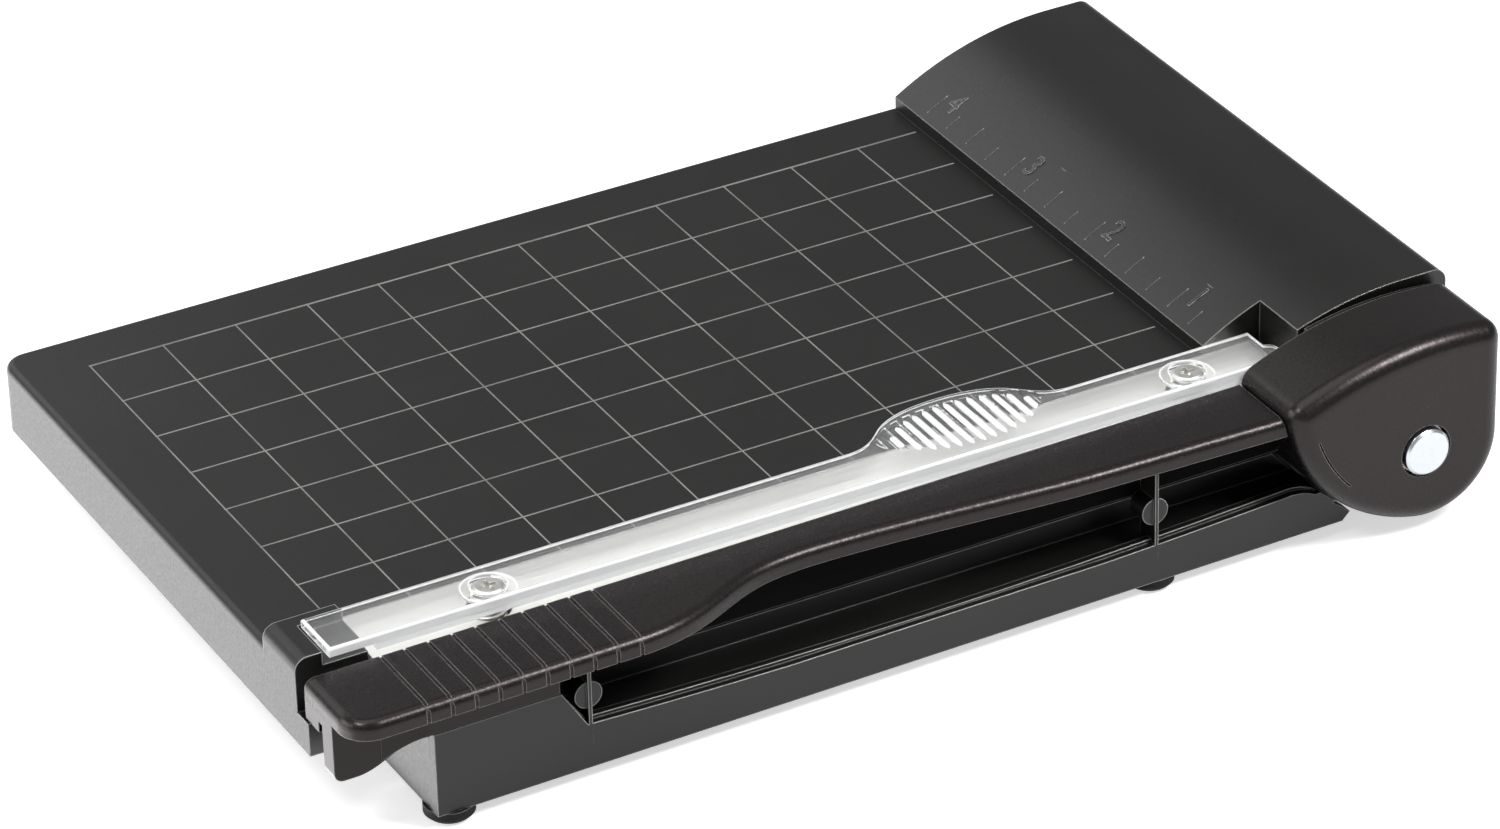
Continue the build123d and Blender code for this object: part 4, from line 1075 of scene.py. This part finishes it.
@dataclass
class CuttingArm:
    """The arm with its cap, web, blade, hub and pivot. Places along X are from the frame's free end."""

    fin_toe: float = 3.0
    fin_run: float = 11.3
    fin_drop: float = 10.1
    fin_rise: float = 3.7
    flare_start: float = 7.6
    flare_end: float = 15.3
    skirt_end: float = 36.4
    box_level: float = 14.4
    box_turn_share: float = 0.0125
    skirt_gap: float = 0.08
    skirt_stations: int = 60

    def build_skirt_face(self) -> bpy.types.Object:
        """Builds the skirt's thicker face, which comes out flush with the end box's front above the box.

        Each section across X is a rectangle from the fin's plane to y(x) = y_fin - gap - s(t) * depth(x),
        and from z(x) = z_fin(x) + s(t) * (z_box + gap - z_heel) up to the cap, with t from 0 to 1 along the
        flare and s the smooth step. The fin's edge z_fin(x) rises by the same step along its run.

        Returns:
            The face as one piece.
        """
        left, fin_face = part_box("arm_frame")[0][:2]
        cap_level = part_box("arm_cap")[0][2]
        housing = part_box("base_housing")[0]
        gap = self.skirt_gap * MM
        along = np.linspace(self.flare_start, self.skirt_end, self.skirt_stations)
        flare = eased((along - self.flare_start) / (self.flare_end - self.flare_start))
        fin_edge = cap_level - self.fin_drop * MM
        heel = fin_edge + self.fin_rise * MM
        edge = fin_edge + self.fin_rise * MM * eased((along - self.fin_toe) / self.fin_run)
        bottom = edge + flare * (housing[2] + self.box_level * MM + gap - heel)
        box_face = housing[1] + np.maximum(0, along - self.flare_end) * self.box_turn_share * MM
        front = fin_face - gap - flare * (fin_face - 2 * gap - box_face)
        back, top = np.full_like(front, fin_face - gap / 2), np.full_like(front, cap_level - gap)
        y = np.stack([front, front, back, back], axis=-1)
        z = np.stack([bottom, top, top, bottom], axis=-1)
        x = np.broadcast_to((left + along * MM)[:, None], y.shape)
        points = np.stack([x, y, z], axis=-1).reshape(-1, 3)
        faces = ring_faces(1, *y.shape)
        return add_piece("skirt_face", points, faces, Finish.FRAME, Body.ARM, False)

    def build(self) -> None:
        """Dresses the arm's solids and adds the skirt's face."""
        dress(Finish.ARM, "arm_cap", "hub_cover", "hub_rim")
        dress(Finish.FRAME, "arm_frame")
        dress(Finish.KNIFE, "blade")
        dress(Finish.ZINC, "cap_screws", "blade_screws", "hub_screws")
        dress(Finish.BRASS, "pivot_bush")
        dress(Finish.CHROME, "pivot_bolt")
        dress(Finish.ZINC, "pivot_washer", "nut_washer", "pivot_nut")
        dress(Finish.PLATE, "thrust_washer")
        self.build_skirt_face()


@dataclass(frozen=True)
class SoftBox:
    """A soft rectangular lamp. Place and size in metres, power in watts."""

    name: str
    place: tuple[float, float, float]
    size: tuple[float, float]
    power: float

    def hang(self, aim: tuple[float, float, float]) -> None:
        """Hangs the lamp so that it faces a point.

        Args:
            aim: The point that it faces, in metres.
        """
        data = bpy.data.lights.new(self.name, "AREA")
        data.shape = "RECTANGLE"
        data.size, data.size_y = self.size
        data.energy = self.power
        lamp = bpy.data.objects.new(self.name, data)
        turn = (Vector(self.place) - Vector(aim)).to_track_quat("Z", "Y")
        lamp.matrix_world = Matrix.Translation(self.place) @ turn.to_matrix().to_4x4()
        bpy.context.scene.collection.objects.link(lamp)


@dataclass
class Studio:
    """Pale floor, soft lamps, white surround and the camera of the photograph. Lengths in metres."""

    camera_place: tuple[float, float, float] = (-0.443939, -0.836798, 0.575366)
    camera_right: tuple[float, float, float] = (0.87668837, -0.48049736, -0.02323325)
    camera_up: tuple[float, float, float] = (0.26213475, 0.43666475, 0.86058658)
    camera_back: tuple[float, float, float] = (-0.40336444, -0.76055649, 0.50877397)
    camera_clip: tuple[float, float] = (0.01, 50.0)
    lens_mm: float = 166.8
    sensor_mm: float = 36.0
    floor_half: float = 4.0
    floor_level: float = -0.0003
    floor_colour: str = "#e6e6e6"
    floor_roughness: float = 0.9
    floor_lift: float = 0.6
    floor_glossy_share: float = 0.4
    ambient: float = 0.3
    glossy_share: float = 0.27
    card_low: tuple[float, float] = (-0.6, -0.065)
    card_high: tuple[float, float] = (-0.087, 0.5)
    card_level: float = 0.0002
    card_strength: float = 3.2
    lamp_aim: tuple[float, float, float] = (0.0, 0.0, 0.02)
    lamps: tuple[SoftBox, ...] = (
        SoftBox("key_soft_box", (0.42, -0.55, 0.85), (0.25, 0.25), 7.5),
        SoftBox("edge_soft_box", (-0.52, -0.18, 0.8), (0.2, 0.2), 2.5),
        SoftBox("overhead_soft_box", (-0.1, 0.05, 1.2), (0.8, 0.8), 3.6),
        SoftBox("back_soft_box", (-0.25, 1.15, 0.72), (1.1, 0.6), 3.0),
        SoftBox("left_soft_box", (-0.9, 0.25, 0.35), (0.7, 0.5), 4.0),
    )

    def set_camera(self) -> None:
        """Puts the camera where the photograph was taken from."""
        data = bpy.data.cameras.new("photo_camera")
        data.lens, data.sensor_width = self.lens_mm, self.sensor_mm
        data.clip_start, data.clip_end = self.camera_clip
        camera = bpy.data.objects.new("photo_camera", data)
        turn = Matrix((self.camera_right, self.camera_up, self.camera_back)).transposed()
        camera.matrix_world = Matrix.Translation(self.camera_place) @ turn.to_4x4()
        bpy.context.scene.collection.objects.link(camera)
        bpy.context.scene.camera = camera

    def lay_sheet(
        self,
        name: str,
        low: tuple[float, float],
        high: tuple[float, float],
        level: float,
        material: bpy.types.Material,
    ) -> bpy.types.Object:
        """Lays a level rectangle.

        Args:
            name: Its name.
            low: Its lowest x and y.
            high: Its highest x and y.
            level: Its height.
            material: Its material.

        Returns:
            The sheet.
        """
        (left, front), (right, back) = low, high
        corners = [(left, front, level), (right, front, level), (right, back, level), (left, back, level)]
        mesh = bpy.data.meshes.new(name)
        mesh.from_pydata(corners, [], [(0, 1, 2, 3)])
        mesh.materials.append(material)
        sheet = bpy.data.objects.new(name, mesh)
        bpy.context.scene.collection.objects.link(sheet)
        return sheet

    def tell_rays(self, tree: bpy.types.NodeTree) -> tuple[bpy.types.NodeSocket, bpy.types.NodeSocket]:
        """Tells rays apart by where they come from.

        Args:
            tree: The tree to add to.

        Returns:
            Whether a ray comes from the camera or through glass, and whether from a glossy surface.
        """
        path = add_node(tree, "ShaderNodeLightPath").outputs
        rays = (path["Is Camera Ray"], path["Is Transmission Ray"])
        seen = add_node(tree, "ShaderNodeMath", rays, operation="MAXIMUM").outputs[0]
        return seen, path["Is Glossy Ray"]

    def lay_floor(self) -> None:
        """Lays a pale matt floor that reads white around the object and keeps its shadow."""
        material, tree = blank_material("pale_floor")
        seen, glossy = self.tell_rays(tree)
        shown = add_node(
            tree, "ShaderNodeMath", (glossy, self.floor_glossy_share, seen), operation="MULTIPLY_ADD"
        )
        lift = add_node(tree, "ShaderNodeMath", (shown.outputs[0], self.floor_lift), operation="MULTIPLY")
        shader = add_node(
            tree,
            "ShaderNodeBsdfPrincipled",
            {
                "Base Color": linear(self.floor_colour),
                "Roughness": self.floor_roughness,
                "Specular IOR Level": 0.0,
                "Emission Color": WHITE,
                "Emission Strength": lift.outputs[0],
            },
        )
        close_material(tree, shader)
        half = self.floor_half
        floor = self.lay_sheet("studio_floor", (-half, -half), (half, half), self.floor_level, material)

    def lay_reflector(self) -> None:
        """Lays a bright card on the floor at the left, seen only in reflections, for the sheen there."""
        material, tree = blank_material("reflector_card")
        close_material(tree, add_node(tree, "ShaderNodeEmission", {"Strength": self.card_strength}))
        card = self.lay_sheet("left_reflector", self.card_low, self.card_high, self.card_level, material)
        card.visible_camera = card.visible_diffuse = False
        card.visible_transmission = card.visible_shadow = False

    def set_world(self) -> None:
        """Surrounds the scene with white for camera and glass, part white for gloss, and a dim ambient."""
        world = bpy.data.worlds.new("studio_surround")
        world.use_nodes = True
        tree = world.node_tree
        tree.nodes.clear()
        seen, glossy = self.tell_rays(tree)
        gloss = add_node(tree, "ShaderNodeMath", (glossy, self.glossy_share), operation="MULTIPLY")
        white = add_node(tree, "ShaderNodeMath", (seen, gloss.outputs[0]), operation="MAXIMUM")
        level = add_node(tree, "ShaderNodeMath", (white.outputs[0], self.ambient), operation="MAXIMUM")
        light = add_node(tree, "ShaderNodeBackground", {"Color": WHITE, "Strength": level.outputs[0]})
        add_node(tree, "ShaderNodeOutputWorld", {"Surface": light.outputs[0]})
        bpy.context.scene.world = world

    def build(self) -> None:
        """Sets up the camera, floor, surround and lamps."""
        self.set_camera()
        self.lay_floor()
        self.lay_reflector()
        self.set_world()
        for lamp in self.lamps:
            lamp.hang(self.lamp_aim)
        bpy.context.scene.view_settings.view_transform = "Standard"


def main() -> None:
    """Builds the trimmer in order."""
    logging.basicConfig(level=logging.INFO, format="%(name)s %(message)s")
    for assembly in (GriddedTable(), RulerCover(), PressBar(), CuttingArm(), Studio()):
        LOG.info("building %s", type(assembly).__name__)
        assembly.build()


if __name__ == "__main__":
    main()
